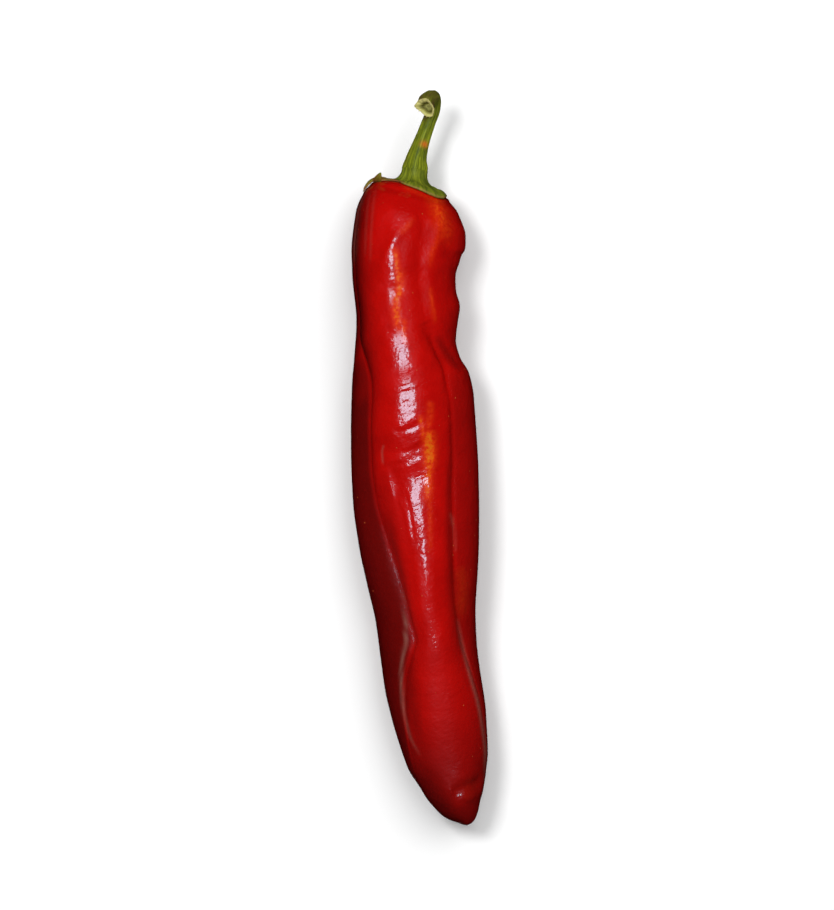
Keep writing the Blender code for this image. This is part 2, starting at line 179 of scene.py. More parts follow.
# Its cut end: the length over which the stalk turns to it, the stretch that takes its outline, the way it
# faces, where it is torn to a point, that outline as shares of the radius round it, how far its hollow lies
# off its middle and how deep that is, and its rings as share of the radius, height, raggedness, dryness and
# paleness.
CUT_LENGTH = 3.2
MOUTH_LENGTH = 1.8
MOUTH_LIP = 0.2
CUT_FACING = (-0.42, -0.45, 0.79)
CUT_POINT_ANGLE = 195.0
CUT_OUTLINE = (
    (0, 1.05), (35, 1.18), (62, 1.44), (85, 1.16), (115, 0.95), (150, 0.82), (178, 1.0), (195, 1.15),
    (213, 0.95), (245, 0.84), (290, 0.97), (330, 1.0), (360, 1.05),
)
CUT_HOLLOW_SHIFT = (0.55, -0.60, 0)
CUT_HOLLOW_DEPTH = 1.5
CUT_RINGS = (
    (1.00, 0.12, 1.0, 0.5, 0.45), (0.96, 0.20, 1.0, 0.1, 0.9), (0.88, 0.18, 0.9, 0.0, 1.0),
    (0.73, 0.05, 0.6, 0.0, 0.8), (0.60, -0.35, 0.35, 0.5, 0.3), (0.50, -0.95, 0.2, 0.8, 0.0),
    (0.36, -1.25, 0.0, 0.5, 0.15), (0.24, -1.20, 0.0, 0.2, 0.5), (0.12, -1.25, 0.0, 0.3, 0.35),
)
# Where the stalk is rusty and dry, and darker in its crook with dirt and a painted shadow of its mouth: how
# far along it, at which angle round it, and how much of its hook.
RUST_RUN = 8.1
RUST_ANGLE = 62.0
CROOK_RUN = 15.4
DRY_RIB_RUN = 5
DRY_ANGLE = 150
HOOK_LENGTH = 9

# Torn fibres round the cut, and corky flecks on the skin, of which there are so many to a square metre.
FIBRE_LENGTH = 0.8 * MM
FIBRE_WIDTH = 0.09 * MM
FIBRE_POINT = 0.02 * MM
FLECK_DENSITY = 6000.0
FLECK_WIDTH = 0.22 * MM
FLECK_FLATNESS = 0.35
LOWEST_FLECK = 3 * MM

# The calyx: a boss under the stalk, wider at its foot than the solid's, and a thinner rim that clings to the
# skin. Round the rim, each angle has its reach as a share of the pod's end, its thickness share, and how
# far it curls off the pod.
GAP = 0.4
CLING = -0.1
CALYX_THICKNESS = 1.3
CALYX_RIM_THICKNESS = 0.75
CALYX_BOSS_HEIGHT = 3.3
CALYX_BOSS_TOP = 0.34
CALYX_BOSS_FOOT = 0.66
CALYX_RIM = (
    (0, 0.90, 1.0, 0.0), (14, 0.95, 1.0, 0.0), (32, 1.02, 1.0, 0.0), (48, 1.05, 1.0, 0.0),
    (63, 1.00, 1.0, 0.0), (75, 0.95, 1.0, 0.0), (90, 0.90, 0.9, 0.0), (108, 0.80, 0.7, 0.0),
    (120, 0.66, 0.55, 0.0), (132, 0.72, 0.5, 0.0), (142, 0.84, 0.5, 0.0), (149, 0.90, 0.5, 0.2),
    (156, 0.84, 0.45, 0.0), (166, 0.70, 0.45, 0.0), (178, 0.74, 0.45, 0.0), (186, 0.86, 0.5, 0.1),
    (192, 0.80, 0.5, 0.0), (208, 0.60, 0.5, 0.0), (235, 0.56, 0.6, 0.0), (255, 0.75, 0.8, 0.0),
    (280, 0.94, 0.9, 0.2), (304, 1.02, 1.0, 0.3), (322, 0.92, 1.0, 0.1), (340, 0.88, 1.0, 0.0),
    (360, 0.90, 1.0, 0.0),
)
CALYX_CURL = 0.15
# Its teeth's ribs, its lumps, and where it is withered: the angle, how wide, and how much.
RIB_ANGLES = (32, 90, 148, 238, 304)
CALYX_RIB_WIDTH = 6.0
CALYX_RIB_HEIGHT = 0.22
CALYX_RIB_SINK = 0.10
CALYX_LUMP_HEIGHT = 0.28
CALYX_WITHERED = ((190, 14, 1.0), (149, 12, 0.6), (124, 12, 0.9))
# Two dried sepal tips that show past the shoulder: points and half widths, and then the way that each one's
# width lies, and its thickness.
UPPER_TIP = (
    (-10.4, 74.2, 12.4, 0.9), (-10.9, 74.3, 14.4, 1.2), (-11.3, 74.5, 16.4, 1.3), (-11.5, 75.1, 17.8, 1.2),
    (-11.2, 75.9, 18.6, 0.9), (-10.7, 76.7, 19.1, 0.25),
)
SIDE_TIP = (
    (-8.9, 75.1, 13.8, 0.9), (-10.4, 75.4, 14.1, 1.2), (-11.8, 75.3, 14.3, 1.2), (-13.1, 74.8, 14.5, 1.1),
    (-14.2, 73.8, 14.8, 0.9), (-14.9, 72.7, 15.0, 0.6), (-15.3, 71.7, 15.2, 0.2),
)
UPPER_TIP_LEAF = ((1, 0, 0), 0.5)
SIDE_TIP_LEAF = ((0, 0, 1), 0.8)
SEPAL_TIP_ROWS = 24
SEPAL_TIP_SIDES = 20
SEPAL_TIP_GIRTH = 5.0
# Points round the calyx, and its rings under it and over it as shares of the rim's reach.
CALYX_SIDES = 240
CALYX_GIRTH = 26.0
CALYX_UNDER = (0.12, 0.34, 0.5, 0.64, 0.76, 0.86, 0.93, 0.975)
CALYX_FACE = (
    0.985, 0.95, 0.9, 0.85, 0.8, 0.75, 0.7, 0.65, 0.6, 0.56, 0.53, 0.5, 0.475, 0.45, 0.43, 0.41, 0.395,
    0.38, 0.365, 0.352, 0.34, 0.3, 0.2, 0.08,
)

# Colours of the skin: its two reds, its two oranges, which also paint a warm fringe beside the highlights,
# its maroon, which paints shade, the pale pink of painted reflections, and its flecks.
RED = "#ac0300"
BRIGHTER_RED = "#b80501"
SCARLET_STREAK_AND_FRINGE = "#d03406"
ORANGE_STREAK_AND_FRINGE = "#d06a0b"
SHADED_MAROON = "#4a0504"
REFLECTION_PINK = "#96685c"
CORK = "#b04a1c"
# Colours of the stalk and the calyx, each light, dark and dry, and of rust, pith and fibre.
STALK_GREENS = ("#8f9816", "#46520a", "#4e4018")
CALYX_GREENS = ("#8a921c", "#46520c", "#80502a")
RUST = "#c86418"
PITH = "#c8c078"
DRY_FIBRE = "#cdbf84"
WHITE = "#ffffff"

# The camera looks down from so high that the pepper's outline, at its own height, has the photo's scale.
PHOTO_HEIGHT_PIXELS = 910
PIXEL = 0.27 * MM
CAMERA_HEIGHT = 2.5
OUTLINE_HEIGHT = 0.013
VIEW_CENTRE = (-0.81 * MM, 0.68 * MM)
SENSOR_HEIGHT = 36
FLOOR_REACH = 4
# Each light's place, size, power, colour, and whether the skin mirrors it. One that is mirrored gives no
# other light, so that the highlights and the shading are set apart.
LIGHTS = {
    "overhead_softbox": ((-0.02, 0.17, 1.3), (0.40, 0.60), 10.5, "#b8e9fd", True),
    "window": ((-0.42, 0.32, 1.15), (0.36, 0.36), 8.8, WHITE, False),
    "overhead_light": ((0.42, 0.45, 1.2), (1.1, 1.1), 10.8, WHITE, False),
}
SKY_STRENGTH = 0.22


def linear(colour):
    """A colour's sRGB hex value as the linear values that Blender works in."""
    parts = [int(colour[i:i + 2], 16) / 255 for i in (1, 3, 5)]
    return [c / 12.92 if c <= 0.04045 else ((c + 0.055) / 1.055) ** 2.4 for c in parts]


def along(table, stations, column=1):
    """The table's values at the stations, on a smooth curve that never swings past its points."""
    knots = np.array(table, float)
    at, value = knots[:, 0], knots[:, column]
    span = np.diff(at)
    slope = np.diff(value) / span
    product = slope[:-1] * slope[1:]
    total = np.where(product > 0, slope[:-1] + slope[1:], 1)
    slopes = np.concatenate([[0], np.where(product > 0, 2 * product / total, 0), [0]])
    x = np.clip(stations, at[0], at[-1])
    i = np.clip(np.searchsorted(at, x, side="right") - 1, 0, len(at) - 2)
    t = (x - at[i]) / span[i]
    return (
        value[i] * (2 * t**3 - 3 * t**2 + 1)
        + value[i + 1] * (3 * t**2 - 2 * t**3)
        + slopes[i] * span[i] * (t**3 - 2 * t**2 + t)
        + slopes[i + 1] * span[i] * (t**3 - t**2)
    )


def cosine(degrees):
    return np.cos(np.radians(degrees))


def sine(degrees):
    return np.sin(np.radians(degrees))


def turned_by(angles, centre):
    """How far the angles are from a centre, from -180 to 180."""
    return (np.asarray(angles) - centre + 180) % 360 - 180


def bell(distance, width):
    return np.exp(-((distance / width) ** 2))


def smooth(low, high, x):
    t = np.clip((x - low) / (high - low), 0, 1)
    return t * t * (3 - 2 * t)


def unit(vectors):
    """The same directions at length one."""
    return vectors / np.maximum(np.linalg.norm(vectors, axis=-1, keepdims=True), 1e-9)


def distances(path):
    """How far along a path each of its points is."""
    return np.concatenate([[0], np.cumsum(np.linalg.norm(np.diff(path, axis=0), axis=1))])


def curve(at, points, steps):
    """A smooth curve through points that lie at the given distances, read at the steps."""
    return np.stack([along(np.stack([at, column], 1), steps) for column in np.transpose(points)], 1)


def ring(angles, radius, height=0):
    """Points round a circle, where noise is read so that it meets itself round a piece."""
    return np.stack([cosine(angles) * radius, sine(angles) * radius, height + 0 * angles], -1)


def grooves_at(stations):
    """Each row's grooves as angle, depth and sharpness, from the right one round to it again."""
    tables = (RIGHT_GROOVE, LEFT_GROOVE, BELLY_GROOVE)
    found = np.stack([np.stack([along(g, stations, c) for c in (1, 2, 3)], -1) for g in tables], 1)
    return np.concatenate([found, found[:, :1] + (360, 0, 0)], 1)


def lobe_shares(angles, grooves):
    """Which lobe each angle is on, from 0 for the top one, and how far across it."""
    first = grooves[:, :1, 0]
    turned = (angles - first) % 360 + first
    lobe = (turned > grooves[:, 1:2, 0]).astype(int) + (turned > grooves[:, 2:3, 0])
    rows = np.arange(len(grooves))[:, None]
    here, following = grooves[rows, lobe], grooves[rows, lobe + 1]
    return lobe, (turned - here[..., 0]) / (following[..., 0] - here[..., 0]), here, following


def unit_sections(angles, stations, grooves):
    """Points of the sections at unit reach, sideways and up."""
    lobe, share, here, following = lobe_shares(angles, grooves)
    depth, sharp = (here[..., c] + (following[..., c] - here[..., c]) * share for c in (1, 2))
    crest = np.clip(np.sin(np.pi * share), 0, 1)
    bed = (1 - crest**2) * (1 - sharp) + (1 - crest**0.75) * sharp
    by_left = ((lobe == 0) & (share > 0.5)) | ((lobe == 1) & (share < 0.5))
    turn = angles - along(UNDERCUT, stations)[:, None] * np.where(by_left, bed, 0) ** 2
    n = SECTION_SQUARENESS
    reach = (abs(cosine(turn)) ** n + abs(sine(turn)) ** n) ** (-1 / n) * (1 - depth * bed)
    return reach * cosine(turn), reach * sine(turn)


def pod_points(stations, angles, share=1.0, rise=0.0):
    """The pod's skin in millimetres at rows of angles, one row to a station. Each section is shrunk to
    a share of its reach, and moved back towards the stalk by a rise."""
    grooves = grooves_at(stations)
    every = np.tile(np.arange(0, 360, 3), (len(stations), 1))
    sample_x, sample_z = unit_sections(every, stations, grooves)
    left = along(LEFT_REACH, stations) / -sample_x.min(1)
    right = along(RIGHT_REACH, stations) / sample_x.max(1)
    top = along(TOP_REACH, stations) / sample_z.max(1)
    bottom = along(BOTTOM_REACH, stations) / -sample_z.min(1)
    x, z = unit_sections(angles, stations, grooves)
    x = x * (left[:, None] + (right - left)[:, None] * (1 + cosine(angles)) / 2) * share
    z = z * (bottom[:, None] + (top - bottom)[:, None] * (1 + sine(angles)) / 2) * share
    height = along(CLEARANCE, stations) + along(BOTTOM_REACH, stations)
    lean = along(SPINE, stations - 1) - along(SPINE, stations + 1)
    run = np.minimum(POD_LENGTH, stations + 1) - np.maximum(0, stations - 1)
    length = np.hypot(lean, run)
    back_x, back_y = (lean / length)[:, None], (run / length)[:, None]
    return np.stack([
        along(SPINE, stations)[:, None] + back_x * rise + back_y * x,
        (SHOULDER_Y - stations)[:, None] + back_y * rise - back_x * x,
        np.maximum(height[:, None] + z, 0),
    ], -1)


def cap_rise(share, angles):
    """How far the shoulder's end stands back over its edge, at a share of the section's reach."""
    sloping = ((1 + cosine(angles - CAP_SLOPING_ANGLE)) / 2) ** 2
    n = CAP_SQUARENESS + (CAP_SLOPING_SQUARENESS - CAP_SQUARENESS) * sloping
    edge = (1 - CAP_CORNER**n) ** (1 / n)
    here = (1 - (CAP_CORNER * np.clip(share, 0, 1)) ** n) ** (1 / n)
    dome = DOME_HEIGHT * (here - edge) / (1 - edge)
    dimple = DIMPLE_DEPTH * np.maximum(0, 1 - (share / DIMPLE_SHARE) ** 2) ** 2
    shoulder = SHOULDER_RISE * bell(turned_by(angles, SHOULDER_RISE_ANGLE), SHOULDER_RISE_SPREAD)
    return dome - dimple + shoulder * np.sin(np.pi * np.clip(share, 0, 1) ** 2)


def skin_normals(grid):
    """The outward direction at each point of a grid whose rows run from the stalk to the tip."""
    around = np.roll(grid, -1, 1) - np.roll(grid, 1, 1)
    return unit(np.cross(around, np.gradient(grid, axis=0)))


def cloud(points, seed, octaves=1):
    """Smooth noise from about -1 to 1 at points of any shape, the same each run."""
    shift = Vector((seed * 17.3, seed * 5.1, 0))
    moved = [Vector(p) + shift for p in points.reshape(-1, 3).tolist()]
    if octaves == 1:
        values = [noise.noise(p) for p in moved]
    else:
        values = [noise.fractal(p, 1.0, 2.0, octaves) for p in moved]
    return np.array(values).reshape(points.shape[:-1])


def mesh_object(name, grid, start, end, material, attributes, girth):
    """A closed skin over a grid of points in millimetres, between two poles, as one object. Its UV map
    runs round it, up to its girth, and along it, in millimetres. Each attribute has a value at the first
    pole, a grid of them, and one at the last pole."""
    rows, sides = grid.shape[:2]
    points = np.concatenate([[start], grid.reshape(-1, 3), [end]]) * MM
    ids = 1 + np.arange(rows * sides).reshape(rows, sides)
    after = np.roll(ids, -1, 1)
    faces = [(0, b, a) for a, b in zip(ids[0].tolist(), after[0].tolist())]
    quads = np.stack([ids[:-1], after[:-1], after[1:], ids[1:]], -1).reshape(-1, 4)
    faces += [tuple(q) for q in quads.tolist()]
    last = rows * sides + 1
    faces += [(last, a, b) for a, b in zip(ids[-1].tolist(), after[-1].tolist())]
    mesh = bpy.data.meshes.new(name)
    mesh.from_pydata(points.tolist(), [], faces)
    length = np.concatenate([[0], np.cumsum(np.linalg.norm(np.diff(grid, axis=0), axis=-1).mean(1))])
    v = np.repeat(length, sides)
    u = np.tile(np.arange(sides) / sides * girth, rows)
    place = np.concatenate([[[0, -0.5]], np.stack([u, v], -1), [[0, length[-1] + 0.5]]])
    uv = mesh.uv_layers.new(name="skin")
    corner = np.empty(len(mesh.loops), np.int32)
    mesh.loops.foreach_get("vertex_index", corner)
    spots = place[corner]
    # A face that closes the girth ends at its far side, not back at zero.
    owner = np.repeat(np.arange(len(mesh.polygons)), [p.loop_total for p in mesh.polygons])
    largest = np.zeros(len(mesh.polygons))
    np.maximum.at(largest, owner, spots[:, 0])
    closing = (largest[owner] > 0.75 * girth) & (spots[:, 0] < 0.25 * girth)
    spots[:, 0] += closing * girth
    uv.data.foreach_set("uv", spots.astype(np.float32).ravel())
    for label, (first, values, final) in attributes.items():
        data = mesh.attributes.new(label, "FLOAT", "POINT")
        whole = np.concatenate([[first], np.broadcast_to(values, (rows, sides)).ravel(), [final]])
        data.data.foreach_set("value", whole.astype(np.float32))
    mesh.shade_smooth()
    mesh.materials.append(material)
    obj = bpy.data.objects.new(name, mesh)
    bpy.context.scene.collection.objects.link(obj)
    return obj


def add(tree, kind, settings=None, **links):
    """A node with its settings. Each input, by its name, or by its number as in _0, is set to a value or a
    hex colour, or linked from a socket, or from the first output that a node has in use."""
    node = tree.nodes.new(kind)
    for key, value in (settings or {}).items():
        setattr(node, key, value)
    for key, value in links.items():
        label = key.replace("_", " ").strip()
        if label.isdigit():
            socket = node.inputs[int(label)]
        else:
            socket = next(s for s in node.inputs if s.name == label and s.enabled)
        if isinstance(value, bpy.types.Node):
            value = next(s for s in value.outputs if s.enabled)
        if isinstance(value, bpy.types.NodeSocket):
            tree.links.new(value, socket)
        elif isinstance(value, str):
            socket.default_value = (*linear(value), 1)
        else:
            socket.default_value = value
    return node


def new_material(name):
    """A material with an empty node tree."""
    material = bpy.data.materials.new(name)
    material.use_nodes = True
    material.node_tree.nodes.clear()
    return material, material.node_tree


def layered(tree, colour, layers):
    """A colour with others laid over it in turn, each by its own amount."""
    for amount, over in layers:
        colour = add(tree, "ShaderNodeMix", {"data_type": "RGBA"}, Factor=amount, A=colour, B=over)
    return colour


def waxy_skin():
    """Ripe pepper skin: a waxy cuticle over a thin red flesh. The cuticle gives sharp white highlights on
    a deep red. Orange streaks on it are partly its own and partly a painted warm fringe beside the
    highlights, maroon is painted shade and on the left lobe partly its own, and pale pink lines are painted
    reflections."""
    material, tree = new_material("waxy_pepper_skin")
    place = add(tree, "ShaderNodeTexCoord").outputs["Object"]
    orange_and_highlight_fringe, shade, painted_reflection, worn = (
        add(tree, "ShaderNodeAttribute", {"attribute_name": label}).outputs["Fac"]
        for label in ("orange_and_highlight_fringe", "shade", "painted_reflection", "worn")
    )
    # Mottling of the flesh under the skin, in patches about 6 mm across.
    patches = add(tree, "ShaderNodeTexNoise", Vector=place, Scale=1 / (6 * MM), Detail=3.0, Roughness=0.55)
    spread = add(tree, "ShaderNodeMapRange", Value=patches, From_Min=0.3, From_Max=0.7)
    # The orange patches, partly the skin's own and partly a painted warm fringe beside the highlights, break
    # up into grains about 1 mm across, scarlet first and then orange.
    grains = add(tree, "ShaderNodeTexNoise", Vector=place, Scale=1 / (1.0 * MM), Detail=3.0, Roughness=0.6)
    broken = add(tree, "ShaderNodeMath", {"operation": "MULTIPLY_ADD"}, _0=grains, _1=3.0, _2=-1.55)
    weighted = add(tree, "ShaderNodeMath", {"operation": "MULTIPLY"}, _0=broken, _1=orange_and_highlight_fringe)
    amount = add(tree, "ShaderNodeMath", {"operation": "ADD", "use_clamp": True}, _0=orange_and_highlight_fringe, _1=weighted)
    first = add(tree, "ShaderNodeMapRange", Value=amount, From_Max=0.5)
    then = add(tree, "ShaderNodeMapRange", Value=amount, From_Min=0.35)
    # Over the reds lie the orange streaks with their painted fringe beside the highlights, the maroon
    # painted shade, and the painted reflections.
    colour = layered(tree, RED, (
        (spread, BRIGHTER_RED), (first, SCARLET_STREAK_AND_FRINGE), (then, ORANGE_STREAK_AND_FRINGE), (shade, SHADED_MAROON),
        (painted_reflection, REFLECTION_PINK),
    ))
    # Low swellings of 2.4 mm, fine folds 0.7 mm apart that cross the pod on a slant, and pimples of 0.9 mm.
    swells = add(tree, "ShaderNodeTexNoise", Vector=place, Scale=1 / (2.4 * MM), Detail=1.0)
    slant = add(tree, "ShaderNodeMapping", {"vector_type": "TEXTURE"}, Vector=place,
                Rotation=(0, 0, math.radians(25)), Scale=(3 * MM, 0.7 * MM, 3 * MM))
    folds = add(tree, "ShaderNodeTexNoise", Vector=slant, Scale=1.0, Detail=2.0)
    pimples = add(tree, "ShaderNodeTexNoise", Vector=place, Scale=1 / (0.9 * MM), Detail=1.0)
    low = add(tree, "ShaderNodeBump", Height=swells, Strength=1.0, Distance=0.16 * MM)
    middle = add(tree, "ShaderNodeBump", Height=folds, Strength=1.0, Distance=0.05 * MM, Normal=low)
    fine = add(tree, "ShaderNodeBump", Height=pimples, Strength=1.0, Distance=0.08 * MM, Normal=middle)
    # Where the wax is worn, the coat is gone and the flesh's own surface is rough.
    waxed = add(tree, "ShaderNodeMapRange", Value=worn, To_Min=1.0, To_Max=0.0)
    roughened = add(tree, "ShaderNodeMapRange", Value=worn, To_Min=0.34, To_Max=0.6)
    shader = add(
        tree, "ShaderNodeBsdfPrincipled", Base_Color=colour, Roughness=roughened, IOR=1.45,
        Specular_IOR_Level=0.14, Normal=fine, Subsurface_Weight=0.12, Subsurface_Scale=1.5 * MM,
        Subsurface_Radius=(1.0, 0.12, 0.06), Coat_Weight=waxed, Coat_Roughness=0.14, Coat_IOR=1.5,
        Coat_Normal=fine,
    )
    add(tree, "ShaderNodeOutputMaterial", Surface=shader)
    return material


def matt(name, colour, roughness, specular):
    """A dull surface of one colour: dead tissue on pieces under a millimetre, or the floor's paper."""
    material, tree = new_material(name)
    shader = add(tree, "ShaderNodeBsdfPrincipled", Base_Color=colour, Roughness=roughness,
                 Specular_IOR_Level=specular)
    add(tree, "ShaderNodeOutputMaterial", Surface=shader)
    return material


def green_tissue(name, light, dark, dry):
    """Living stalk or sepal: a matt green tissue with fine lengthwise fibres, brown where it dries."""
    material, tree = new_material(name)
    lengthwise = add(tree, "ShaderNodeTexCoord").outputs["UV"]
    dryness, rusty, pale = (
        add(tree, "ShaderNodeAttribute", {"attribute_name": label}).outputs["Fac"]
        for label in ("dry", "rust", "pale")
    )
    # Fibres 0.35 mm apart that run along the piece for some 9 mm, on its own UV map in millimetres.
    drawn = add(tree, "ShaderNodeMapping", Vector=lengthwise, Scale=(1 / 0.35, 1 / 9, 1))
    fibres = add(tree, "ShaderNodeTexNoise", Vector=drawn, Scale=1.0, Detail=3.0, Roughness=0.6)
    spread = add(tree, "ShaderNodeMapRange", Value=fibres, From_Min=0.35, From_Max=0.65)
    # Darker blotches, a little over 1 mm wide and drawn out to 4 mm.
    longer = add(tree, "ShaderNodeMapping", Vector=lengthwise, Scale=(1 / 1.1, 1 / 4, 1))
    blotches = add(tree, "ShaderNodeTexNoise", Vector=longer, Scale=1.0, Detail=4.0, Roughness=0.6)
    patched = add(tree, "ShaderNodeMapRange", Value=blotches, From_Min=0.45, From_Max=0.7, To_Max=0.8)
    colour = layered(tree, light, (
        (spread, dark), (patched, dark), (dryness, dry), (rusty, RUST), (pale, PITH),
    ))
    bump = add(tree, "ShaderNodeBump", Height=fibres, Strength=1.0, Distance=0.06 * MM)
    shader = add(
        tree, "ShaderNodeBsdfPrincipled", Base_Color=colour, Roughness=0.6, IOR=1.42,
        Specular_IOR_Level=0.35, Normal=bump, Subsurface_Weight=0.08, Subsurface_Scale=0.8 * MM,
        Subsurface_Radius=(0.6, 1.0, 0.2),
    )
    add(tree, "ShaderNodeOutputMaterial", Surface=shader)
    return material


# Forms of the pod's upper side, in plan. Each has its height over the skin, below zero for a crease, its
# half width, and the path it follows, whose ends fade out. All are in millimetres.
FORMS = (
    # The valley between the main ridge and the one to its right, the crease along it, that ridge, and
    # the hollow at its foot.
    (-0.62, 2.50, ((2.1, 71.8), (1.9, 65.9), (1.1, 58.9), (0.5, 52.5), (0.8, 45.5), (1.6, 39.0),
     (3.2, 33.1), (4.8, 29.4))),
    (-0.30, 0.90, ((2.7, 70.2), (4.3, 65.9), (4.3, 62.6), (2.9, 58.9), (1.9, 55.7))),
    (0.30, 1.70, ((4.8, 69.1), (5.4, 63.2), (4.8, 59.4), (3.5, 55.7), (2.9, 51.6), (3.2, 46.0),
     (4.0, 41.5), (4.6, 36.4))),
    (-0.30, 1.40, ((7.0, 58.4), (8.0, 54.6), (10.7, 51.9))),
    # The neck on the right, under which the next lobe starts.
    (-0.75, 1.90, ((1.6, 36.4), (3.8, 32.1), (6.4, 28.3), (9.7, 25.6))),
    (-0.30, 0.90, ((3.2, 33.1), (5.4, 28.3), (7.2, 22.9), (7.8, 16.5))),
    # The crest of the main ridge, which bends to the right over the shoulder, with the hollow to its
    # left and the creases that cross it.
    (0.45, 1.20, ((-0.5, 65.3), (-2.4, 63.4), (-4.6, 61.3), (-6.4, 58.9), (-7.8, 56.5),
     (-8.6, 53.5), (-8.7, 51.0))),
    (0.36, 2.50, ((-8.4, 56.0), (-8.7, 53.0), (-8.8, 50.0), (-8.7, 47.0), (-8.6, 45.0))),
    (-0.45, 2.20, ((-10.7, 67.5), (-9.7, 63.7), (-10.7, 58.4), (-12.1, 52.5))),
    (0.16, 1.10, ((-9.1, 46.5), (-8.6, 43.9), (-8.6, 40.1))),
    (0.30, 1.10, ((-8.1, 43.3), (-7.8, 40.1), (-7.2, 36.9), (-6.7, 33.7))),
    (-0.18, 1.10, ((-10.7, 46.6), (-8.1, 46.0), (-5.9, 45.5), (-4.3, 43.9))),
    (-0.16, 1.20, ((-10.7, 37.4), (-7.5, 37.4), (-4.3, 38.0))),
    (-0.22, 2.50, ((-6.4, 35.8), (-6.2, 33.1), (-5.6, 29.9), (-4.8, 26.2), (-4.0, 21.9))),
    # Diagonal wrinkles across the ridge.
    (-0.11, 0.50, ((-7.5, 23.2), (-4.8, 23.7), (-1.6, 25.4))),
    (-0.12, 0.50, ((-7.5, 21.6), (-4.6, 21.9), (-1.3, 23.7))),
    (-0.12, 0.50, ((-7.5, 20.0), (-4.3, 20.5), (-0.8, 22.1))),
    (-0.12, 0.50, ((-7.0, 18.4), (-4.0, 19.2), (-0.5, 20.8))),
    (-0.16, 0.55, ((-7.5, 16.5), (-4.8, 17.3), (-2.2, 18.1), (0.5, 18.9))),
    (-0.04, 0.40, ((-6.4, 14.1), (-4.3, 14.4), (-2.2, 15.7))),
    (-0.04, 0.40, ((-5.9, 12.8), (-3.5, 13.3), (-1.1, 14.4))),
    (-0.04, 0.40, ((-5.9, 10.6), (-3.5, 11.4), (-0.8, 12.2))),
    # Flats along the crest, where its highlight is broad.
    (-0.20, 2.00, ((-4.3, 19.7), (-3.5, 16.0), (-3.2, 12.2), (-3.0, 6.8))),
    (-0.16, 1.60, ((-0.8, -7.1), (-0.3, -14.6), (0.3, -22.1), (1.1, -34.2))),
    # The crease under the flat of the ridge, and the short folds below it.
    (-0.34, 0.95, ((-7.5, 6.8), (-4.8, 7.1), (-2.2, 7.9), (1.1, 9.5))),
    (-0.18, 1.30, ((-7.0, 5.5), (-4.3, 5.5), (-1.1, 6.3), (2.1, 7.4))),
    (0.12, 0.60, ((-4.8, 2.3), (-2.4, 3.1), (0.5, 5.0))),
    (-0.16, 0.80, ((-5.4, 1.2), (-2.7, 1.8), (1.1, 3.4))),
    (0.08, 0.60, ((-6.7, -1.2), (-4.8, 0.4), (-2.2, 2.0))),
    (-0.10, 0.80, ((-6.4, -2.3), (-3.8, -0.9), (-0.5, 0.7))),
    (-0.60, 3.40, ((-8.1, -7.4), (-3.2, -6.3), (2.1, -5.2))),
    (-0.07, 0.40, ((-9.7, 4.2), (-10.5, 1.5), (-9.9, -2.3))),
    (0.06, 0.50, ((-8.1, -2.8), (-8.6, -6.6), (-7.5, -11.4))),
    # The ridge's long lower crest, with short folds beside it.
    (0.13, 1.30, ((-0.0, -5.0), (0.3, -11.4), (0.5, -18.1), (1.1, -24.8), (1.6, -31.5),
     (2.7, -39.6), (3.5, -48.9))),
    (0.10, 0.60, ((-6.4, -9.2), (-5.4, -12.2), (-4.0, -15.4), (-3.2, -19.4), (-2.4, -23.5))),
    (-0.12, 0.60, ((-4.3, -8.7), (-3.0, -13.0), (-2.2, -17.8), (-1.6, -22.1))),
    (-0.70, 3.40, ((-8.6, -1.2), (-7.2, -8.7), (-5.9, -16.8), (-4.3, -26.1), (-3.0, -35.5))),
    (-0.07, 0.50, ((-3.0, -21.0), (-1.1, -19.7), (0.5, -18.4))),
    (-0.06, 0.40, ((-2.4, -23.2), (-0.5, -23.5), (0.5, -21.6))),
    (-0.20, 1.60, ((-3.2, -27.5), (-2.2, -34.2), (-1.6, -40.9))),
    (-0.14, 1.40, ((4.8, -27.5), (5.4, -34.2), (5.9, -42.2))),
    # The dents by the tip.
    (-0.16, 0.90, ((8.0, -90.8), (11.3, -92.9), (15.0, -93.5))),
    (-1.15, 2.00, ((8.6, -90.5), (12.6, -88.9), (17.4, -87.3))),
)


def stroke(x, y, path, width):
    """How near points in plan are to a smooth path, from 0 to 1. The path fades out towards its ends."""
    reach = distances(path)
    spots = np.linspace(0, reach[-1], 5 * len(path))
    line = curve(reach, path, spots)
    nearest, at = np.full(x.shape, np.inf), np.zeros(x.shape)
    for (from_x, from_y), (step_x, step_y), run in zip(line, np.diff(line, axis=0), spots):
        size = math.hypot(step_x, step_y)
        t = np.clip(((x - from_x) * step_x + (y - from_y) * step_y) / size**2, 0, 1)
        gap = np.hypot(x - from_x - step_x * t, y - from_y - step_y * t)
        closer = gap < nearest
        nearest[closer], at[closer] = gap[closer], (run + t * size)[closer]
    ends = np.clip(np.minimum(at, reach[-1] - at) / (0.3 * reach[-1]), 0, 1)
    return bell(nearest, width) * np.sin(np.pi / 2 * ends)


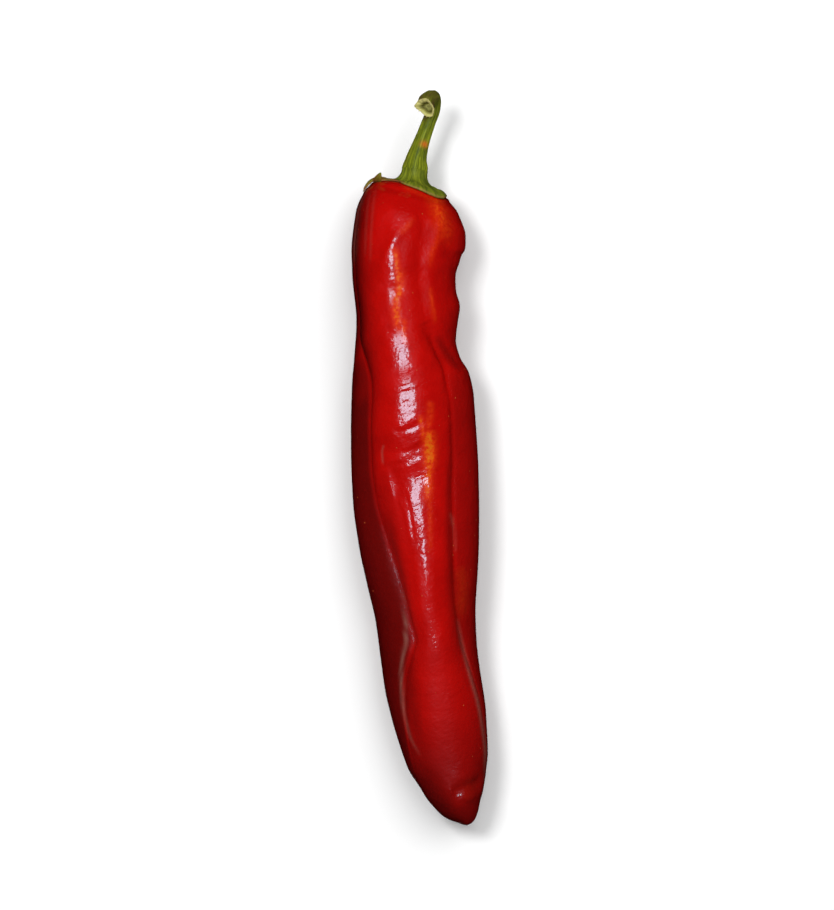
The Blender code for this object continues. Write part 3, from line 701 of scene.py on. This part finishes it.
def pod_relief(grid, normals, stations, angles):
    """How far the skin stands off the plain section, in millimetres, and never outside it."""
    up = smooth(0.1, 0.5, normals[..., 2])
    relief = np.zeros(angles.shape)
    for height, width, path in FORMS:
        relief += height * stroke(grid[..., 0], grid[..., 1], path, width) * up
    # Low swellings all over the pod, some 10 mm across.
    relief += SWELLING_HEIGHT * cloud(ring(angles, 1.6, stations / SWELLING_LENGTH), 1)
    # Fine wrinkles across the pod, drawn out round it, in patches. They are lower near the tip.
    patches = smooth(0.05, 0.4, cloud(ring(angles, 0.9, stations / WRINKLE_PATCH_LENGTH), 2))
    waves = cloud(ring(angles, 1.9, stations / WRINKLE_SPACING + angles / 40), 3)
    fading = 1 - 0.6 * smooth(*WRINKLE_FADE, stations)
    relief += WRINKLE_HEIGHT * waves * patches * fading
    return -np.logaddexp(0, -RELIEF_SHARPNESS * (relief - RELIEF_SET_BACK)) / RELIEF_SHARPNESS


def make_pod(material):
    """The fruit, from the dimple under the calyx down to its tip."""
    cap = np.sin(np.pi / 2 * np.arange(1, CAP_ROWS + 1) / CAP_ROWS)
    body = CAP_DEPTH + BODY_LENGTH * np.arange(1, BODY_ROWS + 1) / BODY_ROWS
    turn = np.pi / 2 * np.arange(1, TIP_ROWS + 1) / (TIP_ROWS + POLE_GAP)
    stations = np.concatenate([
        np.full(CAP_ROWS, CAP_DEPTH), body, POD_LENGTH - TIP_DEPTH * (1 - np.sin(turn)),
    ])
    share = np.concatenate([cap, np.ones(BODY_ROWS), np.cos(turn)])[:, None]
    grooves = grooves_at(stations)
    beds = grooves[..., 0]
    angles = np.concatenate([
        beds[:, i, None] + (beds[:, i + 1] - beds[:, i])[:, None] * np.arange(count) / count
        for i, count in enumerate(LOBE_SIDES)
    ], 1)
    rise = np.zeros(angles.shape)
    rise[:CAP_ROWS] = cap_rise(share[:CAP_ROWS], angles[:CAP_ROWS])
    grid = pod_points(stations, angles, share, rise)
    normals = skin_normals(grid)
    lobe, across, _, _ = lobe_shares(angles, grooves)
    relief = pod_relief(grid, normals, stations[:, None], angles)
    grid = grid + normals * (relief * smooth(0, RELIEF_FLOOR_FADE, grid[..., 2]))[..., None]
    grid[..., 2] = np.maximum(grid[..., 2], 0)
    tables = {"orange_and_highlight_fringe": STREAKS, "painted_reflection": PAINTED_REFLECTIONS, "worn": WORN}
    place = {name: painted(table, grid, normals) for name, table in tables.items()}
    # The shade attribute is painted shade, and on the left lobe partly the skin's own maroon.
    shade = shade_on(grid, normals, stations[:, None], lobe, across)
    place["shade"] = np.maximum(shade, painted(SHADED, grid, normals))
    attributes = {name: (values[0, 0], values, values[-1, 0]) for name, values in place.items()}
    start = pod_points(stations[:1], angles[:1, :1], 0.0, cap_rise(0, angles[:1, :1]))[0, 0]
    end = pod_points(np.array([POD_LENGTH]), angles[:1, :1], 0.0)[0, 0]
    return mesh_object("pod_skin", grid, start, end, material, attributes, POD_GIRTH)


def shade_on(grid, normals, stations, lobe, across):
    """The painted shade, maroon, on the left and right lobes, at the left edge, underneath and by the tip.
    On the left lobe it is partly the skin's own maroon.
    """
    turn = np.degrees(np.arctan2(normals[..., 2], normals[..., 0]))
    left_lobe = np.where(lobe == 1, smooth(0.0, 0.05, across) * smooth(0.75, 0.35, across), 0)
    # The left lobe's shade sets in along an uneven line, up to 9 mm out of true.
    uneven = stations + 9 * cloud(grid / 9, 21)
    left_lobe = left_lobe * smooth(*LEFT_LOBE_ONSET, uneven) * LEFT_LOBE_SHADE
    right_lobe = np.where(lobe == 2, smooth(1.0, 0.97, across), 0)
    right_lobe = right_lobe * smooth(*RIGHT_LOBE_ONSET, stations) * RIGHT_LOBE_SHADE
    left_edge = bell(turned_by(turn, LEFT_EDGE_ANGLE), LEFT_EDGE_SPREAD)
    left_edge = left_edge * smooth(*LEFT_EDGE_END, stations) * LEFT_EDGE_SHADE
    under = smooth(0.1, -0.5, normals[..., 2]) * UNDERSIDE_SHADE
    all_round, past_bend, on_left = TIP_SHADES
    beyond = past_bend + on_left * smooth(0, 60, turned_by(turn, 80))
    tip = all_round * smooth(*TIP_ONSET, stations) + smooth(*TIP_BEND_ONSET, stations) * beyond
    return np.clip(np.maximum.reduce([left_lobe, right_lobe, left_edge, under, tip]), 0, MOST_SHADE)


# Orange streaks on the upper side, partly the skin's own and partly a painted warm fringe beside the
# highlights, in plan: strength, half width, and path.
STREAKS = (
    (0.14, 0.50, ((-4.8, 72.8), (-1.3, 71.5), (2.1, 69.6), (5.6, 67.7))),
    (0.52, 0.80, ((-7.0, 56.7), (-6.4, 53.0), (-5.9, 48.7), (-5.6, 44.9))),
    (0.55, 1.10, ((-5.4, 50.8), (-5.4, 46.0), (-6.4, 41.7), (-6.2, 37.4), (-5.1, 33.1))),
    (0.40, 0.70, ((-4.3, 37.4), (-4.3, 33.7), (-4.0, 30.2))),
    (0.25, 0.80, ((-5.4, 60.0), (-3.8, 61.8), (-2.1, 63.7))),
    (0.34, 2.00, ((3.8, 71.8), (4.8, 66.9), (5.9, 63.2), (7.2, 58.9))),
    (0.25, 0.70, ((5.6, 62.1), (4.6, 58.4), (3.2, 55.1), (2.7, 51.4))),
    (0.26, 0.50, ((2.7, 46.0), (3.2, 41.7), (4.0, 36.4))),
    (0.26, 0.90, ((2.7, 15.4), (2.7, 11.7), (1.9, 7.4))),
    (0.45, 0.70, ((-0.0, 11.7), (0.5, 8.5), (1.1, 4.7))),
    (0.78, 1.50, ((2.2, 7.4), (2.5, 4.2), (2.5, 0.4), (2.2, -2.8))),
    (0.60, 1.10, ((2.7, 3.1), (2.4, -2.3), (2.1, -7.1), (2.1, -11.9))),
    (0.20, 0.70, ((2.4, -8.7), (2.7, -16.8), (2.7, -24.8))),
    (0.06, 2.00, ((11.8, -91.9), (13.4, -89.7), (15.0, -86.5))),
    (0.16, 1.60, ((10.5, -29.1), (11.5, -34.2), (11.3, -38.8), (10.7, -43.0))),
)
# Painted reflections of the surroundings: thin pale pink lines along the grooves and the left edge.
PAINTED_REFLECTIONS = (
    (0.60, 0.80, ((-14.2, 73.9), (-16.1, 69.9), (-17.2, 65.9), (-17.7, 60.5), (-18.0, 52.5))),
    (0.07, 0.40, ((-13.1, 72.8), (-14.0, 68.0), (-14.5, 61.6), (-14.8, 54.3))),
    (0.07, 0.40, ((-11.8, 73.4), (-12.6, 67.7), (-13.1, 61.0), (-13.4, 52.5))),
    (0.42, 0.40, ((-4.8, -35.0), (-4.3, -39.6), (-3.8, -44.9), (-3.8, -48.9), (-4.6, -53.0),
     (-5.1, -58.3), (-4.8, -65.0), (-3.8, -70.9), (-2.4, -75.8), (-0.0, -80.1))),
    (0.40, 0.50, ((9.9, -43.0), (11.0, -48.9), (12.3, -54.3), (13.9, -60.2), (15.6, -66.1),
     (16.9, -73.1), (17.7, -80.1), (17.7, -87.8), (17.2, -95.1))),
    (0.16, 0.40, ((8.0, -14.6), (9.1, -19.4), (9.4, -25.3))),
    (0.20, 0.30, ((-9.7, 3.6), (-10.2, 1.2), (-9.9, -1.7))),
)
# Where the wax is worn off, so that the skin shows no sharp highlight.
WORN = (
    (1.00, 2.80, ((-8.3, 43.3), (-7.8, 40.6), (-7.2, 38.0), (-6.7, 35.3), (-5.9, 32.1))),
    (1.00, 1.30, ((-12.3, 45.5), (-9.7, 45.7), (-6.4, 46.3), (-3.2, 47.4))),
    (0.90, 2.20, ((-9.7, 21.1), (-5.9, 21.9), (-2.4, 22.7), (0.5, 23.5))),
    (1.00, 1.00, ((-6.2, 57.3), (-5.4, 52.5), (-5.1, 46.5))),
    (1.00, 1.40, ((-5.4, 49.2), (-5.1, 44.9), (-4.6, 39.6), (-4.0, 34.2), (-3.5, 31.5))),
    (1.00, 1.60, ((-9.1, 65.9), (-6.2, 63.2), (-5.4, 61.3))),
    (1.00, 1.60, ((-9.7, -16.8), (-7.8, -24.3), (-6.2, -30.2), (-4.6, -36.1), (-3.2, -42.2),
     (-1.9, -48.9), (-0.8, -55.7))),
    (0.80, 1.10, ((-9.1, -1.2), (-7.0, -8.7), (-4.8, -17.3), (-3.2, -25.3))),
    (0.90, 1.30, ((1.1, -28.0), (1.9, -35.5), (2.9, -43.6), (3.8, -53.0))),
    (0.90, 3.40, ((3.2, -48.9), (4.8, -59.7), (6.2, -71.7), (7.5, -83.8))),
    (1.00, 2.20, ((2.7, -77.9), (6.4, -83.8), (8.6, -87.3), (9.1, -89.5))),
)
# Painted shade: beside the grooves, in the fold of the neck, and by the tip.
SHADED = (
    (0.50, 1.80, ((-10.7, -3.3), (-8.6, -14.1), (-6.7, -24.8), (-4.6, -36.9), (-3.5, -48.9),
     (-4.0, -59.7), (-3.2, -70.4), (-1.3, -79.8), (1.1, -86.5))),
    (0.45, 2.80, ((-4.8, -48.9), (-3.0, -61.0), (-1.1, -71.7), (2.7, -85.2))),
    (0.45, 1.00, ((8.0, 16.8), (8.6, 4.7), (7.8, -8.7), (7.8, -22.1), (9.1, -35.5), (11.0, -47.6),
     (12.9, -57.0))),
    (0.45, 1.90, ((8.6, -27.5), (9.9, -39.6), (11.8, -53.0))),
    (0.50, 1.20, ((4.3, 32.9), (6.2, 29.4), (8.6, 26.2), (11.3, 22.9))),
)


def painted(table, grid, normals):
    """How strongly a table of strokes colours the upper side."""
    amount = np.zeros(grid.shape[:2])
    for strength, width, path in table:
        amount = np.maximum(amount, strength * stroke(grid[..., 0], grid[..., 1], path, width))
    return amount * smooth(0.02, 0.4, normals[..., 2])


def ribbed(angles, depth):
    """The share of its radius that a ribbed section keeps at the angles."""
    return 1 - depth * (1 - cosine(RIB_COUNT * (angles - RIB_PHASE))) / 2


def shoulder_points(reach, angles):
    """Points on the pod's end at a reach up to 1, and on past its edge down the pod's side."""
    next_row = BODY_LENGTH / SOLID_BODY_ROWS
    at = np.full(len(reach), CAP_DEPTH)
    inner = np.minimum(reach, 1)
    face = pod_points(at, angles, inner, cap_rise(inner, angles))
    side = pod_points(at + next_row, angles)
    return face + (side - face) * (np.maximum(reach - 1, 0) * END_REACH / next_row)[..., None]


def calyx_points(share, height, angles, rim, lift, out, side):
    """Rings of the calyx, each at a share of the rim's reach and a height over the pod."""
    reach = share[:, None] * rim
    # Directions are read a little way out at the least, because the middle has none round it.
    base = np.maximum(reach, 0.08)
    here = shoulder_points(base, angles)
    outward = shoulder_points(base + 0.02, angles) - here
    round_it = shoulder_points(base, angles + 2) - here
    normal = unit(np.cross(round_it, outward))
    # The boss stands straight out, and the teeth stand off the skin.
    facing = np.clip((share - 0.35) / 0.5, 0, 1)[:, None, None]
    direction = unit(out + (normal - out) * facing)
    # A tooth lifts over the last fifth of its reach, and its very end leans to the right.
    raised = lift * np.maximum(0, (share[:, None] - 0.8) / 0.2) ** 1.2
    curled = CALYX_CURL * lift * np.maximum(0, (share[:, None] - 0.85) / 0.15)
    standing = direction * height[..., None] + out * raised[..., None] + side * curled[..., None]
    return shoulder_points(reach, angles) + standing


def make_calyx(material):
    """The green cap between pod and stalk: blunt teeth with a rib down each, and a boss under the stalk."""
    middle, out_way, side = boss_frame()
    hub, out = np.array(middle), np.array(out_way)
    around = np.arange(CALYX_SIDES) * 360 / CALYX_SIDES
    rim, body, lift = (along(CALYX_RIM, around, column) for column in (1, 2, 3))
    ribs = sum(bell(turned_by(around, centre), CALYX_RIB_WIDTH) for centre in RIB_ANGLES)
    circle = ring(around, 2)
    rim = rim + 0.018 * cloud(circle * 1.3, 5) + 0.014 * cloud(circle * 4.2, 6)
    share = np.array(CALYX_UNDER + (1.0,) + CALYX_FACE)
    angles = np.tile(around, (len(share), 1))
    rim_row = len(CALYX_UNDER)
    is_face = (np.arange(len(share)) > rim_row)[:, None]
    s = share[:, None]
    thickness = (CALYX_THICKNESS + (CALYX_RIM_THICKNESS - CALYX_THICKNESS) * s**2) * body
    thickness = thickness + (CALYX_RIB_HEIGHT * ribs - CALYX_RIB_SINK) * smooth(0.5, 0.7, s) * body
    lumps = CALYX_LUMP_HEIGHT * cloud(ring(angles, s * 4.5, 3), 8, 2) * smooth(0.45, 0.6, s)
    thickness = (thickness + lumps * body) * (1 - 0.35 * smooth(0.92, 1.0, s))
    flare = np.clip((s - CALYX_BOSS_TOP) / (CALYX_BOSS_FOOT - CALYX_BOSS_TOP), 0, 1)
    sunk = cap_rise(0, angles) - cap_rise(np.minimum(s * rim, 1), angles)
    level = CALYX_BOSS_HEIGHT + CALYX_THICKNESS + sunk
    clinging = CLING + thickness
    height = np.where(is_face, clinging + (GAP + level - clinging) * (1 - flare) ** 2, CLING)
    height[rim_row] = CLING + thickness[rim_row] * 0.45
    grid = calyx_points(share, height, angles, rim, lift, out, np.array(side))
    # The boss's top becomes the stalk's own ribbed section.
    from_axis = grid - hub - ((grid - hub) @ out)[..., None] * out
    radius = np.linalg.norm(from_axis, axis=-1)
    wanted = BOSS_RADIUS * ribbed(angles, RIB_DEPTH) * np.minimum(s / CALYX_BOSS_TOP, 1)
    weight = np.where(is_face, (1 - flare) ** 1.5, 0)
    grid = grid + unit(from_axis) * ((wanted - radius) * weight)[..., None]
    withered = np.maximum.reduce([
        amount * bell(turned_by(around, angle), width) for angle, width, amount in CALYX_WITHERED
    ])
    edge = smooth(0.95, 1.0, s) * is_face
    dry = np.clip(0.75 * edge + withered * smooth(0.55, 0.8, s) * 1.2 + 0.3 * (1 - is_face), 0, 1)
    pale = 0.10 * smooth(0.955, 0.99, s) * (1 - withered) * is_face
    start = hub + out * CLING
    end = hub + out * (GAP + CALYX_BOSS_HEIGHT + CALYX_THICKNESS)
    attributes = {"dry": (0.3, dry[:, ::-1], 0), "pale": (0, pale[:, ::-1], 0)}
    return mesh_object("calyx_tissue", grid[:, ::-1], start, end, material, attributes, CALYX_GIRTH)


def make_sepal_tip(name, path, width_way, thickness, material):
    """A dried sepal tip that stands off the shoulder: a leaf along a path of points and half widths."""
    leaf = curve(np.arange(len(path)), path, np.linspace(0, len(path) - 1, SEPAL_TIP_ROWS))
    centre, half = leaf[:, :3], leaf[:, 3, None, None]
    normal = unit(np.cross(width_way, np.gradient(centre, axis=0)))
    angles = np.arange(SEPAL_TIP_SIDES) * 360 / SEPAL_TIP_SIDES
    # Half the thickness lies to each side, and both edges are cupped.
    wide = cosine(angles)[None, :, None] * half * np.array(width_way)
    cupped = thickness * (sine(angles) * 0.5 + 0.6 * cosine(angles) ** 2)
    grid = centre[:, None] + wide + cupped[None, :, None] * normal[:, None] * np.minimum(half, 1)
    grid = grid + 0.08 * cloud(grid / 0.9, 16)[..., None]
    dry = np.clip(0.45 + 0.5 * np.abs(cosine(angles)) ** 6 + 0.8 * cloud(grid / 0.9, 17), 0, 1)
    attributes = {"dry": (0.8, dry, 0.8)}
    return mesh_object(name, grid, centre[0], centre[-1], material, attributes, SEPAL_TIP_GIRTH)


def boss_frame():
    """The calyx's middle on the pod's end, the way out from it, and the way to its right."""
    at = np.array([CAP_DEPTH])
    lean = float(along(SPINE, at - 1)[0] - along(SPINE, at + 1)[0])
    out = Vector((lean, 2.0, 0)).normalized()
    middle = Vector(pod_points(at, np.zeros((1, 1)), 0.0, cap_rise(0, np.zeros((1, 1))))[0, 0])
    return middle, out, Vector((out.y, -out.x, 0))


def make_stalk(material):
    """The stalk, swept along its hooked path with five soft ribs, and hollowed at its cut end."""
    middle, out, side = boss_frame()
    foot = middle + out * STALK_FOOT
    path = np.array([
        (*(foot + side * across + out * along_it + Vector((0, 0, up))), radius)
        for across, along_it, up, radius in STALK_PATH
    ])
    reach = distances(path[:, :3])
    length = reach[-1]
    steps = np.linspace(0, length, STALK_ROWS)
    swept = curve(reach, path, steps)
    for _ in range(STALK_SMOOTHINGS):
        swept[1:-1] = (swept[:-2] + 2 * swept[1:-1] + swept[2:]) / 4
    centre = swept[:, :3]
    tangent = unit(np.gradient(centre, axis=0))
    # The cut was slanting, so the last rings turn to face the way that the mouth does.
    turning = smooth(length - CUT_LENGTH, length, steps)[:, None]
    tangent = unit(tangent + (np.array(CUT_FACING) - tangent) * turning)
    across = np.array(side)
    angles = np.arange(STALK_SIDES) * 360 / STALK_SIDES
    circle = ring(angles, 1)
    rings, dryness, paleness, rusty = [], [], [], []
    for point, radius, direction, run in zip(centre, swept[:, 3], tangent, steps):
        across = unit(across - direction * across.dot(direction))
        upward = np.cross(across, direction)
        section = radius * ribbed(angles, RIB_DEPTH) + RIDGE_HEIGHT * cosine(angles * RIDGE_COUNT)
        section = section + STALK_LUMP_HEIGHT * cloud(circle * 1.4 + (0, 0, run / 2.5), 9)
        shaped = smooth(length - MOUTH_LENGTH, length - MOUTH_LIP, run)
        section = section * (1 + (along(CUT_OUTLINE, angles) - 1) * shaped)
        sideways = np.outer(section * cosine(angles), across)
        rings.append(point + sideways + np.outer(section * sine(angles), upward))
        dried = 0.75 + 0.5 * cloud(circle * 1.8 + (0, 0, run / 2), 14)
        hooked = smooth(length - HOOK_LENGTH, length - 1, run) * dried
        # The crook under the mouth is darker: dirt, and a painted shadow of the mouth.
        crook_dirt_and_shadow = 1.2 * bell(run - CROOK_RUN, 1.4) * bell(turned_by(angles, DRY_ANGLE), 40)
        ribs = 0.45 * bell(turned_by(angles, DRY_ANGLE), 9) * bell(run - DRY_RIB_RUN, 5)
        dryness.append(np.clip(np.maximum.reduce([hooked, crook_dirt_and_shadow, ribs]), 0, 1))
        paleness.append(0 * angles)
        rusty.append(0.9 * bell(run - RUST_RUN, 0.8) * bell(turned_by(angles, RUST_ANGLE), 30))
    # The cut end: a ragged pale rim, torn to a point on one side, and a dry hollow inside it.
    last, hub, direction = rings[-1], centre[-1], tangent[-1]
    shift = np.array(CUT_HOLLOW_SHIFT)
    ragged = 0.28 * cloud(circle * 2.6, 11) + 0.16 * cloud(circle * 6.5, 12)
    torn = bell(turned_by(angles, CUT_POINT_ANGLE), 20)
    for share, depth, rag, dry, pale in CUT_RINGS:
        away = (last - hub) * (share + 0.05 * rag * ragged)[:, None] + shift * (1 - rag)
        rings.append(hub + away + np.outer(depth + rag * (ragged + 0.4 * torn), direction))
        dryness.append(dry + 0 * angles)
        paleness.append(pale + 0.22 * cloud(circle * 5 * share, 13))
        rusty.append(0 * angles)
    grid = np.array(rings)
    attributes = {
        "dry": (0, np.array(dryness)[:, ::-1], 0.6),
        "pale": (0, np.clip(np.array(paleness), 0, 1)[:, ::-1], 0.3),
        "rust": (0, np.array(rusty)[:, ::-1], 0),
    }
    end = hub - direction * CUT_HOLLOW_DEPTH + shift
    stalk = mesh_object("stalk_tissue", grid[:, ::-1], centre[0], end, material, attributes, STALK_GIRTH)
    return stalk, grid[STALK_ROWS + 1], direction


def node_group(name, inputs):
    """An empty geometry group with named inputs, and its two end nodes."""
    tree = bpy.data.node_groups.new(name, "GeometryNodeTree")
    tree.interface.new_socket("Geometry", in_out="INPUT", socket_type="NodeSocketGeometry")
    for label, kind in inputs.items():
        tree.interface.new_socket(label, in_out="INPUT", socket_type=kind)
    tree.interface.new_socket("Geometry", in_out="OUTPUT", socket_type="NodeSocketGeometry")
    return tree, tree.nodes.new("NodeGroupInput").outputs, tree.nodes.new("NodeGroupOutput")


def finish_group(tree, end, instances, material):
    """Ends a group with real geometry in a material."""
    real = add(tree, "GeometryNodeRealizeInstances", Geometry=instances)
    coloured = add(tree, "GeometryNodeSetMaterial", Geometry=real, Material=material)
    tree.links.new(coloured.outputs["Geometry"], end.inputs["Geometry"])


def grown(name, mesh, tree, values):
    """What a group makes of a mesh, as a plain object of its own."""
    source = bpy.data.objects.new(name + "_source", mesh)
    bpy.context.scene.collection.objects.link(source)
    modifier = source.modifiers.new("growth", "NODES")
    modifier.node_group = tree
    for item in tree.interface.items_tree:
        if item.in_out == "INPUT" and item.name in values:
            modifier[item.identifier] = values[item.name]
    evaluated = source.evaluated_get(bpy.context.evaluated_depsgraph_get())
    made = bpy.data.meshes.new_from_object(evaluated)
    source.modifiers.remove(modifier)
    bpy.data.objects.remove(source)
    piece = bpy.data.objects.new(name, made)
    bpy.context.scene.collection.objects.link(piece)
    return piece


def make_flecks(pod, material):
    """Low corky flecks scattered over the skin, each a flattened bead."""
    tree, inputs, end = node_group("flecks", {"Density": "NodeSocketFloat", "Width": "NodeSocketFloat"})
    position = add(tree, "GeometryNodeInputPosition")
    height = add(tree, "ShaderNodeSeparateXYZ", Vector=position).outputs["Z"]
    above = add(tree, "FunctionNodeCompare", {"operation": "GREATER_THAN"}, A=height, B=LOWEST_FLECK)
    spots = add(tree, "GeometryNodeDistributePointsOnFaces", Mesh=inputs["Geometry"],
                Density=inputs["Density"], Seed=7, Selection=above)
    bead = add(tree, "GeometryNodeMeshUVSphere", Segments=8, Rings=5, Radius=inputs["Width"])
    low = add(tree, "GeometryNodeTransform", Geometry=bead, Scale=(1, 1, FLECK_FLATNESS))
    size = add(tree, "FunctionNodeRandomValue", {"data_type": "FLOAT"}, Min=0.3, Max=1.0, Seed=11)
    placed = add(tree, "GeometryNodeInstanceOnPoints", Points=spots, Instance=low,
                 Rotation=spots.outputs["Rotation"], Scale=size)
    finish_group(tree, end, placed, material)
    return grown("skin_flecks", pod.data.copy(), tree, {"Density": FLECK_DENSITY, "Width": FLECK_WIDTH})


def make_fibres(rim, direction, material):
    """Short torn fibres that stand round the rim of the stalk's cut end."""
    mesh = bpy.data.meshes.new("fibre_feet")
    mesh.from_pydata((rim[::2] * MM).tolist(), [], [])
    tree, inputs, end = node_group("fibres", {"Length": "NodeSocketFloat", "Width": "NodeSocketFloat"})
    fibre = add(tree, "GeometryNodeMeshCone", Vertices=6, Side_Segments=2, Radius_Top=FIBRE_POINT,
                Radius_Bottom=inputs["Width"], Depth=inputs["Length"])
    facing = add(tree, "FunctionNodeAlignRotationToVector", {"axis": "Z"}, Vector=Vector(direction))
    lean = add(tree, "FunctionNodeRandomValue", {"data_type": "FLOAT_VECTOR"}, Min=(-0.5, -0.5, 0.0),
               Max=(0.5, 0.5, 6.0), Seed=3)
    leaning = add(tree, "FunctionNodeEulerToRotation", Euler=lean)
    turned = add(tree, "FunctionNodeRotateRotation", {"rotation_space": "LOCAL"}, Rotation=facing,
                 Rotate_By=leaning)
    size = add(tree, "FunctionNodeRandomValue", {"data_type": "FLOAT"}, Min=0.35, Max=1.0, Seed=5)
    placed = add(tree, "GeometryNodeInstanceOnPoints", Points=inputs["Geometry"], Instance=fibre,
                 Rotation=turned, Scale=size)
    finish_group(tree, end, placed, material)
    return grown("cut_fibres", mesh, tree, {"Length": FIBRE_LENGTH, "Width": FIBRE_WIDTH})


def soft_light(name, place, size, power, colour, mirrored):
    """A rectangular softbox that faces the pepper."""
    data = bpy.data.lights.new(name, "AREA")
    data.shape = "RECTANGLE"
    data.size, data.size_y = size
    data.energy = power
    data.color = linear(colour)
    lamp = bpy.data.objects.new(name, data)
    lamp.location = place
    lamp.rotation_euler = (-Vector(place)).to_track_quat("-Z", "Y").to_euler()
    lamp.visible_glossy = mirrored
    lamp.visible_diffuse = not mirrored
    bpy.context.scene.collection.objects.link(lamp)


def set_stage():
    """The pale floor, the soft studio light, and the camera straight overhead."""
    scene = bpy.context.scene
    mesh = bpy.data.meshes.new("floor")
    corners = [(x * FLOOR_REACH, y * FLOOR_REACH, 0) for x, y in ((-1, -1), (1, -1), (1, 1), (-1, 1))]
    mesh.from_pydata(corners, [], [(0, 1, 2, 3)])
    mesh.materials.append(matt("matt_white_paper", WHITE, 0.9, 0.2))
    floor = bpy.data.objects.new("floor", mesh)
    floor.visible_glossy = False
    floor.visible_diffuse = False
    scene.collection.objects.link(floor)
    world = bpy.data.worlds.new("studio")
    scene.world = world
    world.use_nodes = True
    sky = world.node_tree.nodes["Background"]
    sky.inputs["Color"].default_value = (*linear(WHITE), 1)
    sky.inputs["Strength"].default_value = SKY_STRENGTH
    world.cycles_visibility.glossy = False
    for name, light in LIGHTS.items():
        soft_light(name, *light)
    scene.view_settings.view_transform = "Standard"
    camera = bpy.data.cameras.new("camera")
    camera.sensor_fit = "VERTICAL"
    camera.sensor_height = SENSOR_HEIGHT
    camera.lens = SENSOR_HEIGHT * (CAMERA_HEIGHT - OUTLINE_HEIGHT) / (PHOTO_HEIGHT_PIXELS * PIXEL)
    eye = bpy.data.objects.new("camera", camera)
    eye.location = (*VIEW_CENTRE, CAMERA_HEIGHT)
    scene.collection.objects.link(eye)
    scene.camera = eye


def main():
    set_stage()
    skin = waxy_skin()
    stem = green_tissue("stalk_tissue", *STALK_GREENS)
    sepal = green_tissue("calyx_tissue", *CALYX_GREENS)
    cork = matt("corky_fleck", CORK, 0.7, 0.5)
    fibre = matt("dry_fibre", DRY_FIBRE, 0.7, 0.5)
    pod = make_pod(skin)
    stalk, rim, direction = make_stalk(stem)
    pieces = (
        (pod, "pod", "pod_skin"),
        (make_calyx(sepal), "calyx", "calyx_green"),
        (stalk, "stalk", "stalk_green"),
        (make_sepal_tip("upper_sepal_tip", UPPER_TIP, *UPPER_TIP_LEAF, sepal), None, "calyx_green"),
        (make_sepal_tip("side_sepal_tip", SIDE_TIP, *SIDE_TIP_LEAF, sepal), None, "calyx_green"),
        (make_flecks(pod, cork), None, "pod_skin"),
        (make_fibres(rim, direction, fibre), None, "stalk_green"),
    )
    for piece, node, slot in pieces:
        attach(piece, "root")
        if node:
            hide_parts(node)


main()
